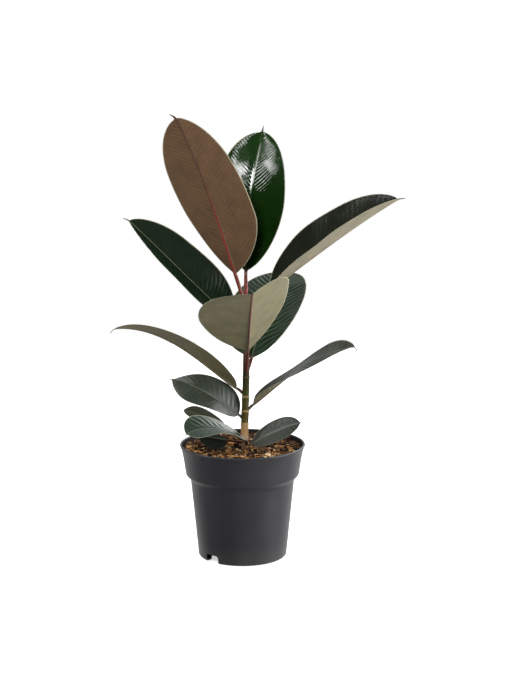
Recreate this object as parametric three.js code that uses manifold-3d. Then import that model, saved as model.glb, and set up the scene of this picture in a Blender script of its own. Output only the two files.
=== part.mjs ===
// A young rubber plant in a plastic nursery pot. Millimetres, +Z up.
// The origin is on the ground, on the axis of the pot. The front of the plant faces -Y.

import * as THREE from 'three';
import { mergeVertices } from 'three/addons/utils/BufferGeometryUtils.js';
import Module from 'manifold-3d';

const wasm = await Module();
wasm.setup();

// ---------------------------------------------------------------- driving dimensions

const GAP = 0.3; // clearance between pieces that touch

const POT_HEIGHT = 155;
const POT_RIM_RADIUS = 85; // outside of the lip
const POT_COLLAR_Z = 113.5; // lower edge of the collar
const POT_BODY_TOP_RADIUS = 70.3;
const POT_FOOT_RADIUS = 60.3;
const POT_WALL = 1.5;
const POT_SEGMENTS = 48;
const CHANNEL_HEIGHT = 9; // hollow ring under the floor that carries water away
const CHANNEL_INNER_RADIUS = 34;
const CHANNEL_OUTER_RADIUS = 48;
const NOTCH_WIDTH = 22;
const NOTCH_HEIGHT = 11;
const NOTCH_HEADINGS = [227, 47];
const DRAIN_HOLE_RADIUS = 3.5;
const DRAIN_HOLES = 6;

const SOIL_LEVEL = 149;
const STEM_SIDES = 12;
const LEAF_SIDES = 12;
const BLADE_THICKNESS = 1.2;

// The stem from its hidden foot to its top: height, x, y, radius.
const STEM = [
  [104, 2.6, 0.6, 4.2],
  [140, 2.9, 0.2, 4.7],
  [173, 2.9, 0.0, 5.2],
  [201, 3.7, -0.4, 5.0],
  [220, 4.3, -0.4, 4.7],
  [247, 5.0, 0.0, 4.5],
  [290, 5.2, 0.3, 4.1],
  [340, 4.4, 0.2, 3.7],
  [357, 4.1, 0.0, 3.3],
];
const NODE_HEIGHTS = [154, 182, 200, 220, 247, 305, 338]; // the rings where leaves sit or sat
const NODE_SWELL = 0.55;

// The leaves, from the soil to the top. Angles in degrees.
//   foot      where the petiole starts, in or beside the stem
//   heading   the way the leaf points: 0 right, 90 to the back, 180 left, 270 to the front
//   petiole   length, rise and heading at its foot, and radius
//   rise      slope of the midrib at the blade's base, middle and tip
//   sweep     how far the heading turns along the blade
//   roll      turn about the midrib, positive with the right-hand side down: base, middle, tip
//   fold      how far each half folds up from the midrib: base, middle, tip
//   cup       how much more each half curls up towards its edge
//   widest    place of the greatest width of the left and right half, as a share of the length
//   blunt     how round the base of the left and right half is: 0 tapers, 1 is round
//   skew      how much wider the right half is than the left
//   curl      turn of the drip tip up or down
const LEAVES = [
  { name: 'leaf_01', foot: [3, -2, 158], heading: 192, petiole: [24, 18, 192, 1.5],
    length: 38, width: 34, rise: [6, 6, 4], sweep: 0,
    roll: [-30, -30, -30], fold: [-20, -20, -20], cup: 4, widest: [0.4, 0.45], blunt: [1, 0.5],
    skew: 0, curl: -10 },
  { name: 'leaf_02', foot: [3, 2, 150], heading: 346, petiole: [9, 8, 346, 1.6],
    length: 80, width: 40, rise: [33, 26, 18], sweep: 0,
    roll: [40, 40, 40], fold: [4, 4, 4], cup: 8, widest: [0.52, 0.52], blunt: [0.6, 0.6],
    skew: 0.08, curl: 0 },
  { name: 'leaf_03', foot: [5, -3, 154.5], heading: 202, petiole: [15, 40, 300, 1.8],
    length: 93, width: 54, rise: [34, 13, -28], sweep: 0,
    roll: [-12, -22, -22], fold: [4, 18, 18], cup: 8, widest: [0.55, 0.62], blunt: [1, 0],
    skew: -0.15, curl: -30 },
  { name: 'leaf_04', foot: [3, 0, 163], heading: 163, petiole: [28, 20, 163, 1.7],
    length: 70, width: 36, rise: [26, 21, 10], sweep: 0,
    roll: [-12, -12, -12], fold: [4, 4, 4], cup: 4, widest: [0.62, 0.62], blunt: [0.5, 0.5],
    skew: 0, curl: 0 },
  { name: 'leaf_05', foot: [3, 0, 180], heading: 196, petiole: [18, 85, 196, 1.9],
    length: 116, width: 63, rise: [36, 33, 10], sweep: 0,
    roll: [-50, -37, -28], fold: [14, 0, -30], cup: 5, widest: [0.5, 0.42], blunt: [0.3, 1],
    skew: 0, curl: -50 },
  { name: 'leaf_06', foot: [3.6, -0.4, 195], heading: 2, petiole: [19, 62, 2, 1.9],
    length: 160, width: 46, rise: [39, 31, 13], sweep: 0,
    roll: [-20, -3, 22], fold: [42, 24, 30], cup: 3, widest: [0.62, 0.5], blunt: [1, 1],
    skew: 0, curl: -85 },
  { name: 'leaf_07', foot: [4.3, -0.4, 220], heading: 186, petiole: [18, 52, 186, 2.1],
    length: 191, width: 66, rise: [36, 32, -8], sweep: 0,
    roll: [10, 8, 6], fold: [28, 21, 15], cup: 5, widest: [0.42, 0.48], blunt: [1, 0.8],
    skew: 0, curl: -30 },
  { name: 'leaf_08', foot: [5, 0, 247], heading: 273, petiole: [53, 75, 273, 2.4],
    length: 232, width: 130, rise: [32, 27, 22], sweep: 0,
    roll: [19, 19, 19], fold: [20, 20, 20], cup: 3, widest: [0.52, 0.52], blunt: [1, 0.3],
    skew: 0, curl: -20 },
  { name: 'leaf_09', foot: [5, 0, 249], heading: 73, petiole: [28, 52, 64, 2.3],
    length: 178, width: 105, rise: [47, 36, 18], sweep: 0,
    roll: [0, 0, 0], fold: [10, 10, 10], cup: 5, widest: [0.42, 0.5], blunt: [1, 0.7],
    skew: 0.06, curl: -20 },
  { name: 'leaf_10', foot: [5, 0.3, 305], heading: 187, petiole: [25, 53, 187, 2.4],
    length: 198, width: 97, rise: [39, 45, 49], sweep: 0,
    roll: [-44, -44, -44], fold: [34, 34, 34], cup: 6, widest: [0.5, 0.38], blunt: [0.4, 0.7],
    skew: 0, curl: -30 },
  { name: 'leaf_11', foot: [4.4, 0.2, 338], heading: 354, petiole: [44, 47, 354, 2.4],
    length: 214, width: 93, rise: [38, 36, 31], sweep: 0,
    roll: [23, 23, 23], fold: [40, 40, 40], cup: 5, widest: [0.42, 0.5], blunt: [0.4, 0.4],
    skew: 0, curl: -22 },
  { name: 'leaf_12', foot: [3.6, -0.6, 347], heading: 205, petiole: [43, 70, 200, 2.5],
    length: 233, width: 102, rise: [72, 68, 60], sweep: 4,
    roll: [42, 42, 42], fold: [8, 8, 8], cup: 3, widest: [0.3, 0.56], blunt: [0.2, 0],
    skew: 0, curl: -40 },
  { name: 'leaf_13', foot: [3.8, 1.5, 350], heading: 71, petiole: [40, 84, 80, 2.2],
    length: 199, width: 93, rise: [84, 74, 66], sweep: -12,
    roll: [8, 8, 8], fold: [10, 10, 10], cup: 8, widest: [0.55, 0.42], blunt: [0.2, 0.2],
    skew: 0, curl: 10 },
];

// The narrow sheath at the top of the stem: foot, lean, length and greatest radius.
const BUD = { foot: [5.4, -2.0, 357.4], heading: 300, rise: 86, length: 30, radius: 2.0, sides: 10 };
const BUD_PROFILE = [ // share of the length, share of the radius
  [0, 0.55], [0.05, 0.8], [0.15, 1], [0.35, 0.95], [0.6, 0.68], [0.82, 0.36], [0.96, 0.12], [1, 0.04],
];

// Larger pieces of bark on the soil: x, y, heading, length, width, thickness.
const CHIPS = [
  [-52, -2, 20, 15, 8, 3.4],
  [-36, 12, 75, 13, 7, 3.0],
  [-28, -14, 150, 21, 9, 3.6],
  [-14, 20, 35, 16, 9, 3.8],
  [-16, -32, 100, 14, 8, 3.2],
  [10, -26, 10, 17, 8, 3.4],
  [20, 24, 120, 15, 8, 3.4],
  [34, -6, 160, 14, 7, 3.0],
  [52, 8, 55, 15, 10, 3.8],
  [48, -24, 95, 18, 8, 3.4],
  [26, -50, 30, 16, 9, 3.6],
  [-6, -60, 170, 19, 8, 3.2],
  [-42, -44, 60, 15, 9, 3.4],
  [-30, 50, 140, 17, 8, 3.4],
  [6, 58, 15, 15, 8, 3.2],
  [40, 44, 85, 16, 9, 3.6],
];

// ---------------------------------------------------------------- finishes

const paint = (color, roughness) => new THREE.MeshStandardMaterial({ color, roughness, metalness: 0 });
const FINISHES = {
  pot: paint('#3b3b3d', 0.55),
  soil: paint('#4a3423', 0.95),
  bark: paint('#a8703a', 0.85),
  stem: paint('#7d5a38', 0.6),
  bud: paint('#8e3a2a', 0.4),
  leaf: paint('#1f2d1c', 0.3),
};

// ---------------------------------------------------------------- helpers

const radians = THREE.MathUtils.degToRad;
const { lerp, smoothstep } = THREE.MathUtils;

/** The curve through a at 0, b at one half and c at 1. */
const through = ([a, b, c], t) => a * (1 - t) * (1 - 2 * t) + b * 4 * t * (1 - t) + c * t * (2 * t - 1);

function direction(rise, heading) {
  const level = Math.cos(radians(rise));
  return new THREE.Vector3(
    level * Math.cos(radians(heading)),
    level * Math.sin(radians(heading)),
    Math.sin(radians(rise)),
  );
}

/** The closed solid inside a geometry. */
function toSolid(geometry) {
  const bare = geometry.clone();
  bare.deleteAttribute('normal');
  bare.deleteAttribute('uv');
  const merged = mergeVertices(bare, 1e-4);
  return new wasm.Manifold(new wasm.Mesh({
    numProp: 3,
    vertProperties: new Float32Array(merged.attributes.position.array),
    triVerts: new Uint32Array(merged.index.array),
  }));
}

function toGeometry(solid) {
  const { vertProperties, triVerts } = solid.getMesh();
  const geometry = new THREE.BufferGeometry();
  geometry.setAttribute('position', new THREE.BufferAttribute(new Float32Array(vertProperties), 3));
  geometry.setIndex(new THREE.BufferAttribute(new Uint32Array(triVerts), 1));
  geometry.computeVertexNormals();
  return geometry;
}

function addMesh(parent, name, geometry, finish, position = [0, 0, 0]) {
  const mesh = new THREE.Mesh(geometry, finish.clone());
  mesh.name = name;
  mesh.position.set(...position);
  parent.add(mesh);
  return mesh;
}

/** A turned shape about Z, from a profile of radius and height. */
function turned(profile, segments) {
  const points = profile.map(([radius, height]) => new THREE.Vector2(radius, height));
  return new THREE.LatheGeometry(points, segments).rotateX(Math.PI / 2);
}

/** A cylinder whose rings are moved onto the given sections, each with a centre and its points. */
function bentCylinder(sections, sides) {
  const last = sections.length - 1;
  const geometry = new THREE.CylinderGeometry(1, 1, 1, sides, last);
  const position = geometry.attributes.position;
  const point = new THREE.Vector3();
  for (let k = 0; k < position.count; k++) {
    point.fromBufferAttribute(position, k);
    const section = sections[Math.round((point.y + 0.5) * last)];
    const turn = Math.atan2(point.x, point.z) / (2 * Math.PI);
    const side = Math.round((turn + 1) * sides) % sides;
    const onAxis = Math.hypot(point.x, point.z) < 0.5;
    point.copy(onAxis ? section.centre : section.points[side]);
    position.setXYZ(k, point.x, point.y, point.z);
  }
  return geometry;
}

// ---------------------------------------------------------------- pot

/** The moulded pot: lip, flared collar, tapered body, and a floor with a water channel under it. */
function potSolid() {
  const foot = POT_FOOT_RADIUS;
  const channelTop = CHANNEL_HEIGHT + POT_WALL;
  const profile = [
    [0, 0],
    [CHANNEL_INNER_RADIUS - 4, 0],
    [CHANNEL_INNER_RADIUS, CHANNEL_HEIGHT],
    [CHANNEL_OUTER_RADIUS, CHANNEL_HEIGHT],
    [CHANNEL_OUTER_RADIUS + 3, 0],
    [foot - 1.8, 0],
    [foot - 0.5, 0.9],
    [foot, 3],
    [POT_BODY_TOP_RADIUS, 104],
    [POT_BODY_TOP_RADIUS + 1.2, 108],
    [76.4, POT_COLLAR_Z - 0.6],
    [77.0, POT_COLLAR_Z + 0.4],
    [78.6, 125],
    [80.4, 136.6],
    [81.6, 142],
    [83.1, 148],
    [84.4, 151.5],
    [POT_RIM_RADIUS, 153.2],
    [84.6, POT_HEIGHT - 0.3],
    [83.6, POT_HEIGHT],
    [82.6, POT_HEIGHT - 0.4],
    [81.6, 148],
    [79.6, 140],
    [75.4, 114.8],
    [POT_BODY_TOP_RADIUS - 0.3, 108],
    [POT_BODY_TOP_RADIUS - POT_WALL, 104],
    [foot - POT_WALL, 3],
    [foot - POT_WALL - 1, POT_WALL],
    [CHANNEL_OUTER_RADIUS + 4.2, POT_WALL],
    [CHANNEL_OUTER_RADIUS + 0.8, channelTop],
    [CHANNEL_INNER_RADIUS - 0.8, channelTop],
    [CHANNEL_INNER_RADIUS - 5.2, POT_WALL],
    [0, POT_WALL],
  ];
  let pot = toSolid(turned(profile, POT_SEGMENTS));

  const arch = new THREE.Shape();
  const half = NOTCH_WIDTH / 2;
  arch.moveTo(-half, -1);
  arch.lineTo(half, -1);
  arch.lineTo(half - 0.8, NOTCH_HEIGHT - 3);
  arch.quadraticCurveTo(half - 1.2, NOTCH_HEIGHT, half - 4, NOTCH_HEIGHT);
  arch.lineTo(4 - half, NOTCH_HEIGHT);
  arch.quadraticCurveTo(1.2 - half, NOTCH_HEIGHT, 0.8 - half, NOTCH_HEIGHT - 3);
  for (const heading of NOTCH_HEADINGS) {
    const notch = new THREE.ExtrudeGeometry(arch, { depth: 16, bevelEnabled: false, curveSegments: 3 });
    notch.rotateX(Math.PI / 2).rotateZ(Math.PI / 2); // along X, arch upright
    notch.translate(CHANNEL_OUTER_RADIUS - 0.4, 0, 0).rotateZ(radians(heading));
    pot = pot.subtract(toSolid(notch));
  }
  const middle = (CHANNEL_INNER_RADIUS + CHANNEL_OUTER_RADIUS) / 2;
  for (let k = 0; k < DRAIN_HOLES; k++) {
    const hole = new THREE.CylinderGeometry(DRAIN_HOLE_RADIUS, DRAIN_HOLE_RADIUS, 8, 12);
    hole.rotateX(Math.PI / 2).translate(middle, 0, CHANNEL_HEIGHT);
    hole.rotateZ(radians(NOTCH_HEADINGS[0] + (360 / DRAIN_HOLES) * k));
    pot = pot.subtract(toSolid(hole));
  }
  return pot;
}

// ---------------------------------------------------------------- stem and bud

function stemAt(z) {
  const k = Math.max(1, STEM.findIndex(([height]) => height >= z));
  const [from, to] = [STEM[k - 1], STEM[k]];
  const share = (z - from[0]) / (to[0] - from[0]);
  return [1, 2, 3].map((column) => lerp(from[column], to[column], share));
}

/** The stem, swollen at its nodes, and grown outwards by the given clearance. */
function stemSolid(clearance = 0) {
  const heights = STEM.map(([z]) => z);
  for (const z of NODE_HEIGHTS) heights.push(z - 2.4, z - 0.8, z + 0.8, z + 2.4);
  heights.sort((a, b) => a - b);
  const bottom = heights[0];
  const top = heights[heights.length - 1];
  const sections = heights.map((z) => {
    const [x, y, thick] = stemAt(z);
    const near = Math.min(...NODE_HEIGHTS.map((node) => Math.abs(z - node)));
    const radius = thick + clearance + (near < 1.5 ? NODE_SWELL : 0);
    const level = z + (z === bottom ? -clearance : 0) + (z === top ? clearance : 0);
    const points = [];
    for (let k = 0; k < STEM_SIDES; k++) {
      const turn = (2 * Math.PI * k) / STEM_SIDES;
      points.push(new THREE.Vector3(x + radius * Math.cos(turn), y + radius * Math.sin(turn), level));
    }
    return { centre: new THREE.Vector3(x, y, level), points };
  });
  return toSolid(bentCylinder(sections, STEM_SIDES));
}

/** The sheath that holds the next leaf: a slim cone, flat at its foot, drawn out to a point. */
function budSolid() {
  const axis = direction(BUD.rise, BUD.heading);
  const sections = BUD_PROFILE.map(([share, width]) => {
    const centre = axis.clone().multiplyScalar(BUD.length * share);
    const points = [];
    for (let k = 0; k < BUD.sides; k++) {
      const turn = (2 * Math.PI * k) / BUD.sides;
      const offset = new THREE.Vector3(Math.cos(turn), Math.sin(turn), 0);
      points.push(centre.clone().addScaledVector(offset, BUD.radius * width));
    }
    return { centre, points };
  });
  return toSolid(bentCylinder(sections, BUD.sides));
}

// ---------------------------------------------------------------- leaves

const BLADE_STEPS = 60;
const PETIOLE_STEPS = 8;
const BLADE_END = 0.955; // where the blade ends and the drip tip goes on
const DRIP_TIP_WIDTH = 0.035;
const BLADE_STATIONS = [
  1, 2, 3, 5, 7, 9, 12, 15, 18, 21, 24, 27, 30, 33, 36, 39, 42, 45, 48, 50, 52, 54, 56, 57, 58, 60,
];

/** Half the width of a blade, as a share of its greatest, from its base at 0 to its tip at 1. */
function outline(t, widest, blunt) {
  if (t < widest) return (1 - ((widest - t) / widest) ** lerp(1.6, 2.1, blunt)) ** lerp(0.75, 0.5, blunt);
  const blade = (1 - Math.min(1, (t - widest) / (BLADE_END - widest)) ** 2.4) ** 0.62;
  const dripTip = DRIP_TIP_WIDTH * Math.min(1, (1 - t) / (1 - BLADE_END)) ** 0.7;
  return Math.max(blade, dripTip);
}

/** Points and directions along a leaf, starting at its foot as the origin. */
function spine(leaf) {
  const [petioleLength, petioleRise, petioleHeading] = leaf.petiole;
  const at = new THREE.Vector3();
  const stations = [{ at: at.clone(), rise: petioleRise, heading: petioleHeading, t: -1 }];
  const advance = (rise, heading, length, t) => {
    const last = stations[stations.length - 1];
    at.addScaledVector(direction((last.rise + rise) / 2, (last.heading + heading) / 2), length);
    stations.push({ at: at.clone(), rise, heading, t });
  };
  for (let k = 1; k <= PETIOLE_STEPS; k++) {
    const share = k / PETIOLE_STEPS;
    const rise = lerp(petioleRise, leaf.rise[0], share);
    const heading = lerp(petioleHeading, leaf.heading, share);
    advance(rise, heading, petioleLength / PETIOLE_STEPS, share - 1);
  }
  for (let k = 1; k <= BLADE_STEPS; k++) {
    const t = k / BLADE_STEPS;
    const rise = through(leaf.rise, t) + leaf.curl * smoothstep(t, 0.93, 1);
    advance(rise, leaf.heading + leaf.sweep * t, leaf.length / BLADE_STEPS, t);
  }
  return stations;
}

/** One leaf: a round petiole that runs on as the midrib under a thin folded blade. */
function leafSolid(leaf) {
  const stations = spine(leaf);
  const petioleRadius = leaf.petiole[3];
  const used = [0, 3, 6, PETIOLE_STEPS, ...BLADE_STATIONS.map((k) => k + PETIOLE_STEPS)];
  const sections = used.map((index) => {
    const { at, rise, heading, t } = stations[index];
    const along = direction(rise, heading);
    const right = new THREE.Vector3(Math.sin(radians(heading)), -Math.cos(radians(heading)), 0);
    const up = new THREE.Vector3().crossVectors(right, along);
    const place = Math.max(0, t);
    const roll = radians(through(leaf.roll, place)) * smoothstep(t, -0.6, 0.05);
    const side = right.clone().multiplyScalar(Math.cos(roll)).addScaledVector(up, -Math.sin(roll));
    const normal = right.clone().multiplyScalar(Math.sin(roll)).addScaledVector(up, Math.cos(roll));
    const rib = petioleRadius * lerp(1, 0.2, Math.min(1, place * 1.05)) * (t > BLADE_END ? 0.6 : 1);
    const flat = smoothstep(t, -0.15, 0.06); // 0 where the section is round, 1 where it is a blade
    const fold = radians(through(leaf.fold, place));
    const cup = radians(leaf.cup);

    const edge = (share, face) => {
      const hand = share > 0 ? 1 : 0;
      const skew = 1 + leaf.skew * (2 * hand - 1);
      const half = (leaf.width / 2) * skew * outline(place, leaf.widest[hand], leaf.blunt[hand]);
      const reach = Math.abs(share);
      const width = Math.max(half, rib);
      const across = (width / cup) * (Math.sin(fold + cup * reach) - Math.sin(fold));
      const lift = (width / cup) * (Math.cos(fold) - Math.cos(fold + cup * reach));
      const thin = (BLADE_THICKNESS / 2) * (1 - 0.55 * reach) * face;
      const keel = face < 0 && reach < 0.02 ? -rib : 0;
      const round = Math.sqrt(1 - reach * reach) * rib * face;
      return at.clone()
        .addScaledVector(side, Math.sign(share) * lerp(rib * reach, across, flat))
        .addScaledVector(normal, lerp(round, lift + thin + keel, flat));
    };
    const shoulder = 0.5 + 0.1 * flat;
    const inner = 0.866 - flat * (0.866 - Math.min(0.3, (2.2 * rib) / Math.max(rib, leaf.width / 2)));
    const order = t < 0 ? [0.5, 0.866] : [Math.min(inner, shoulder), Math.max(inner, shoulder)];
    const points = [
      edge(0, 1), edge(order[0], 1), edge(order[1], 1),
      edge(1, 0), edge(order[1], -1), edge(order[0], -1),
      edge(0, -1), edge(-order[0], -1), edge(-order[1], -1),
      edge(-1, 0), edge(-order[1], 1), edge(-order[0], 1),
    ];
    return { centre: at.clone(), points };
  });
  return toSolid(bentCylinder(sections, LEAF_SIDES));
}

// ---------------------------------------------------------------- soil and bark

/** Height of the uneven soil surface. */
function soilHeight(x, y) {
  const broad = 1.5 * Math.sin(x / 13 + 0.6) * Math.cos(y / 15 - 0.4);
  const fine = 0.8 * Math.sin(x / 5.2 + y / 6.1) + 0.6 * Math.cos(x / 4.1 - y / 5.3);
  const dip = 4 * Math.exp(-((x - 3) ** 2 + y ** 2) / 400);
  return SOIL_LEVEL + broad + fine - dip;
}

function soilSolid() {
  const floor = CHANNEL_HEIGHT + POT_WALL + GAP;
  const wallAt = (z) => lerp(POT_FOOT_RADIUS, POT_BODY_TOP_RADIUS, (z - 3) / 101) - POT_WALL - GAP;
  const rings = [6, 14, 23, 32, 42, 52, 62, 72, 80.7];
  const profile = [
    [0, floor],
    [wallAt(floor), floor],
    [wallAt(104), 103],
    [POT_BODY_TOP_RADIUS - 1, 107.5],
    [74.8, 115],
    [79.1, 140],
    ...rings.reverse().map((radius) => [radius, SOIL_LEVEL]),
    [0, SOIL_LEVEL],
  ];
  const geometry = turned(profile, POT_SEGMENTS);
  const position = geometry.attributes.position;
  for (let k = 0; k < position.count; k++) {
    if (position.getZ(k) < SOIL_LEVEL - 0.01) continue;
    position.setZ(k, soilHeight(position.getX(k), position.getY(k)));
  }
  return toSolid(geometry);
}

/** A split piece of bark: a six-sided flake with broken corners, lying flat. */
function chipGeometry(length, width, thickness, grow = 0) {
  const [a, b] = [length / 2 + grow, width / 2 + grow];
  const flake = new THREE.Shape([
    new THREE.Vector2(-a, -b * 0.55),
    new THREE.Vector2(-a * 0.5, -b),
    new THREE.Vector2(a * 0.72, -b * 0.86),
    new THREE.Vector2(a, -b * 0.1),
    new THREE.Vector2(a * 0.55, b),
    new THREE.Vector2(-a * 0.66, b * 0.82),
  ]);
  const depth = thickness + 2 * grow;
  const geometry = new THREE.ExtrudeGeometry(flake, { depth, bevelEnabled: false });
  return geometry.translate(0, 0, -depth / 2);
}

// ---------------------------------------------------------------- assembly

const plantInPot = new THREE.Group();
const plant = new THREE.Group();
const bark = new THREE.Group();
plantInPot.add(plant, bark);

addMesh(plantInPot, 'pot', toGeometry(potSolid()), FINISHES.pot);

const stemRoom = stemSolid(GAP);
addMesh(plant, 'stem', toGeometry(stemSolid()), FINISHES.stem);
addMesh(plant, 'apical_bud', toGeometry(budSolid()), FINISHES.bud, BUD.foot);

for (const leaf of LEAVES) {
  const [x, y, z] = leaf.foot;
  const solid = leafSolid(leaf).subtract(stemRoom.translate([-x, -y, -z]));
  addMesh(plant, leaf.name, toGeometry(solid), FINISHES.leaf, leaf.foot);
}

let soil = soilSolid().subtract(stemRoom);
CHIPS.forEach(([x, y, heading, length, width, thickness], index) => {
  const name = `bark_chip_${String(index + 1).padStart(2, '0')}`;
  const chip = addMesh(bark, name, chipGeometry(length, width, thickness), FINISHES.bark);
  chip.position.set(x, y, soilHeight(x, y) + thickness * 0.15);
  chip.rotation.set(radians(6 * Math.sin(index * 2.3)), radians(7 * Math.cos(index * 1.7)), radians(heading));
  chip.updateMatrix();
  const room = chipGeometry(length, width, thickness, GAP).applyMatrix4(chip.matrix);
  soil = soil.subtract(toSolid(room));
});
addMesh(plantInPot, 'soil', toGeometry(soil), FINISHES.soil);

export default plantInPot;
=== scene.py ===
"""A young rubber plant in a plastic nursery pot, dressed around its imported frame.

The pot stands on the floor at the origin, +Z is up and the plant's front faces -Y. The sizes of
plant and pot are in millimetres, and MM turns them into metres where a mesh is made. The studio,
and the places and depths that a material reads, are in metres.
"""

from __future__ import annotations

import logging
import math
import random
import sys
from dataclasses import dataclass, field, replace
from enum import Enum
from typing import Callable, Iterator, Sequence

import bmesh
import bpy
from mathutils import Matrix, Vector, noise

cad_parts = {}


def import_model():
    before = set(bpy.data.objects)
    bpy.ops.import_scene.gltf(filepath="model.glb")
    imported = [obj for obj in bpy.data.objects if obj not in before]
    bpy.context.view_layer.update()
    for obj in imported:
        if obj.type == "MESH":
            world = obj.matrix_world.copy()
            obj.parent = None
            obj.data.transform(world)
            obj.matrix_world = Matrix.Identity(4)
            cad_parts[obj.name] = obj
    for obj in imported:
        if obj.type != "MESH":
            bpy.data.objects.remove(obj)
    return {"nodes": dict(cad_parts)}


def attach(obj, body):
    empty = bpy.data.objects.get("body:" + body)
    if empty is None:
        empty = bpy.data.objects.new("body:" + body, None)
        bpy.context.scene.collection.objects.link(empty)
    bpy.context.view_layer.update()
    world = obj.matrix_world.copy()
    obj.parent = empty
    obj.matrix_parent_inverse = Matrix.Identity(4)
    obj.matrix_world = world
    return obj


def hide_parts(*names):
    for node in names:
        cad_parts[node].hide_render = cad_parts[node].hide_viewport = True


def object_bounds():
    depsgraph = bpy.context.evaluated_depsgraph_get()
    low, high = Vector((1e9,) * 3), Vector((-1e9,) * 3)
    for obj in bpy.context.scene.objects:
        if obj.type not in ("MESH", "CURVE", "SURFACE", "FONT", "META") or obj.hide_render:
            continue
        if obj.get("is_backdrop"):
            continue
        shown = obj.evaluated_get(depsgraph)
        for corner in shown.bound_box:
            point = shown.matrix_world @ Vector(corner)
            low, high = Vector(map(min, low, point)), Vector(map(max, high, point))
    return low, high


MM = 0.001
FULL_TURN = 2 * math.pi
WELD = 1e-6  # vertices this near each other, in metres, become one
log = logging.getLogger("rubber_plant")

Colour = tuple[float, float, float]
Point = tuple[float, float, float]
Course = tuple[float, float, float]  # values at the base, middle and tip of a blade
Pair = tuple[float, float]
Stops = tuple[tuple[float, Colour], ...]  # a colour ramp's places and colours


class Slot(Enum):
    """The record's material slots."""

    POT = "pot"
    SOIL = "soil"
    BARK = "bark"
    STEM = "stem"
    BUD = "bud"
    LEAF = "leaf"


# ------------------------------------------------------------------------------ small sums


def lerp(a: float, b: float, share: float) -> float:
    """Return the value at a share of the way from a to b."""
    return a + (b - a) * share


def smoothstep(value: float, low: float, high: float) -> float:
    """Return 0 below low, 1 above high and a smooth rise between them."""
    share = min(1.0, max(0.0, (value - low) / (high - low)))
    return share * share * (3 - 2 * share)


def steady(value: float) -> Course:
    """Return a course that keeps one value along the whole blade."""
    return value, value, value


def through(course: Course, t: float) -> float:
    """Return the curve through a course's three values at t = 0, 1/2 and 1."""
    a, b, c = course
    return a * (1 - t) * (1 - 2 * t) + b * 4 * t * (1 - t) + c * t * (2 * t - 1)


def between(rows: Sequence[tuple[float, ...]], value: float) -> tuple[tuple[float, ...], tuple[float, ...]]:
    """Find the stretch of a table that a value lies in.

    Args:
        rows: The table, sorted by the first number of each row.
        value: The value to place among those first numbers.

    Returns:
        The rows just below and just above it.
    """
    for low, high in zip(rows, rows[1:]):
        if value <= high[0]:
            break
    return low, high


def direction(rise: float, heading: float) -> Vector:
    """Work out a direction from two angles.

    Args:
        rise: Degrees above the level.
        heading: Degrees from +X towards +Y.

    Returns:
        The unit vector.
    """
    level = math.cos(math.radians(rise))
    turn = math.radians(heading)
    return Vector((level * math.cos(turn), level * math.sin(turn), math.sin(math.radians(rise))))


# ------------------------------------------------------------------------------ shader nodes


class Value:
    """A shader socket that holds a number, and adds Math nodes when it is used in a sum."""

    def __init__(self, tree: "Tree", socket: bpy.types.NodeSocket) -> None:
        """Keep the socket and the tree it is in."""
        self.tree = tree
        self.socket = socket

    def math(self, operation: str, *others: "Value | float") -> "Value":
        """Add a Math node that works on this value.

        Args:
            operation: The Math node's operation.
            others: The values or numbers of its further sockets.

        Returns:
            The result.
        """
        node = self.tree.node("ShaderNodeMath", {"operation": operation}, {0: self})
        for index, other in enumerate(others, start=1):
            self.tree.feed(node.inputs[index], other)
        return Value(self.tree, node.outputs[0])

    def __add__(self, other: "Value | float") -> "Value":
        """Return the sum."""
        return self.math("ADD", other)

    __radd__ = __add__

    def __mul__(self, other: "Value | float") -> "Value":
        """Return the product."""
        return self.math("MULTIPLY", other)

    __rmul__ = __mul__

    def __sub__(self, other: "Value | float") -> "Value":
        """Return the difference."""
        return self.math("SUBTRACT", other)

    def __rsub__(self, other: float) -> "Value":
        """Return a number less this value."""
        return (self * -1.0) + other

    def __truediv__(self, other: "Value | float") -> "Value":
        """Return the quotient."""
        return self.math("DIVIDE", other)

    def __abs__(self) -> "Value":
        """Return the value without its sign."""
        return self.math("ABSOLUTE")

    def fraction(self) -> "Value":
        """Return what is left over the whole number below."""
        return self.math("FRACT")

    def above(self, limit: float) -> "Value":
        """Return 1 where the value is above the limit, else 0."""
        return self.math("GREATER_THAN", limit)

    def smooth(self, low: float, high: float) -> "Value":
        """Rise smoothly from 0 to 1.

        Args:
            low: The value up to which the result is 0.
            high: The value from which it is 1.

        Returns:
            The result.
        """
        inputs = {"Value": self, "From Min": low, "From Max": high}
        node = self.tree.node("ShaderNodeMapRange", {"interpolation_type": "SMOOTHSTEP"}, inputs)
        return Value(self.tree, node.outputs["Result"])

    def crest(self) -> "Value":
        """Return a wave that falls from 1 at each whole number to 0 half-way between them."""
        return abs(self.fraction() - 0.5) * 2.0


def lerp_value(low: float, high: float, factor: Value) -> Value:
    """Return low turning into high as the factor goes from 0 to 1."""
    return factor * (high - low) + low


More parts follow.
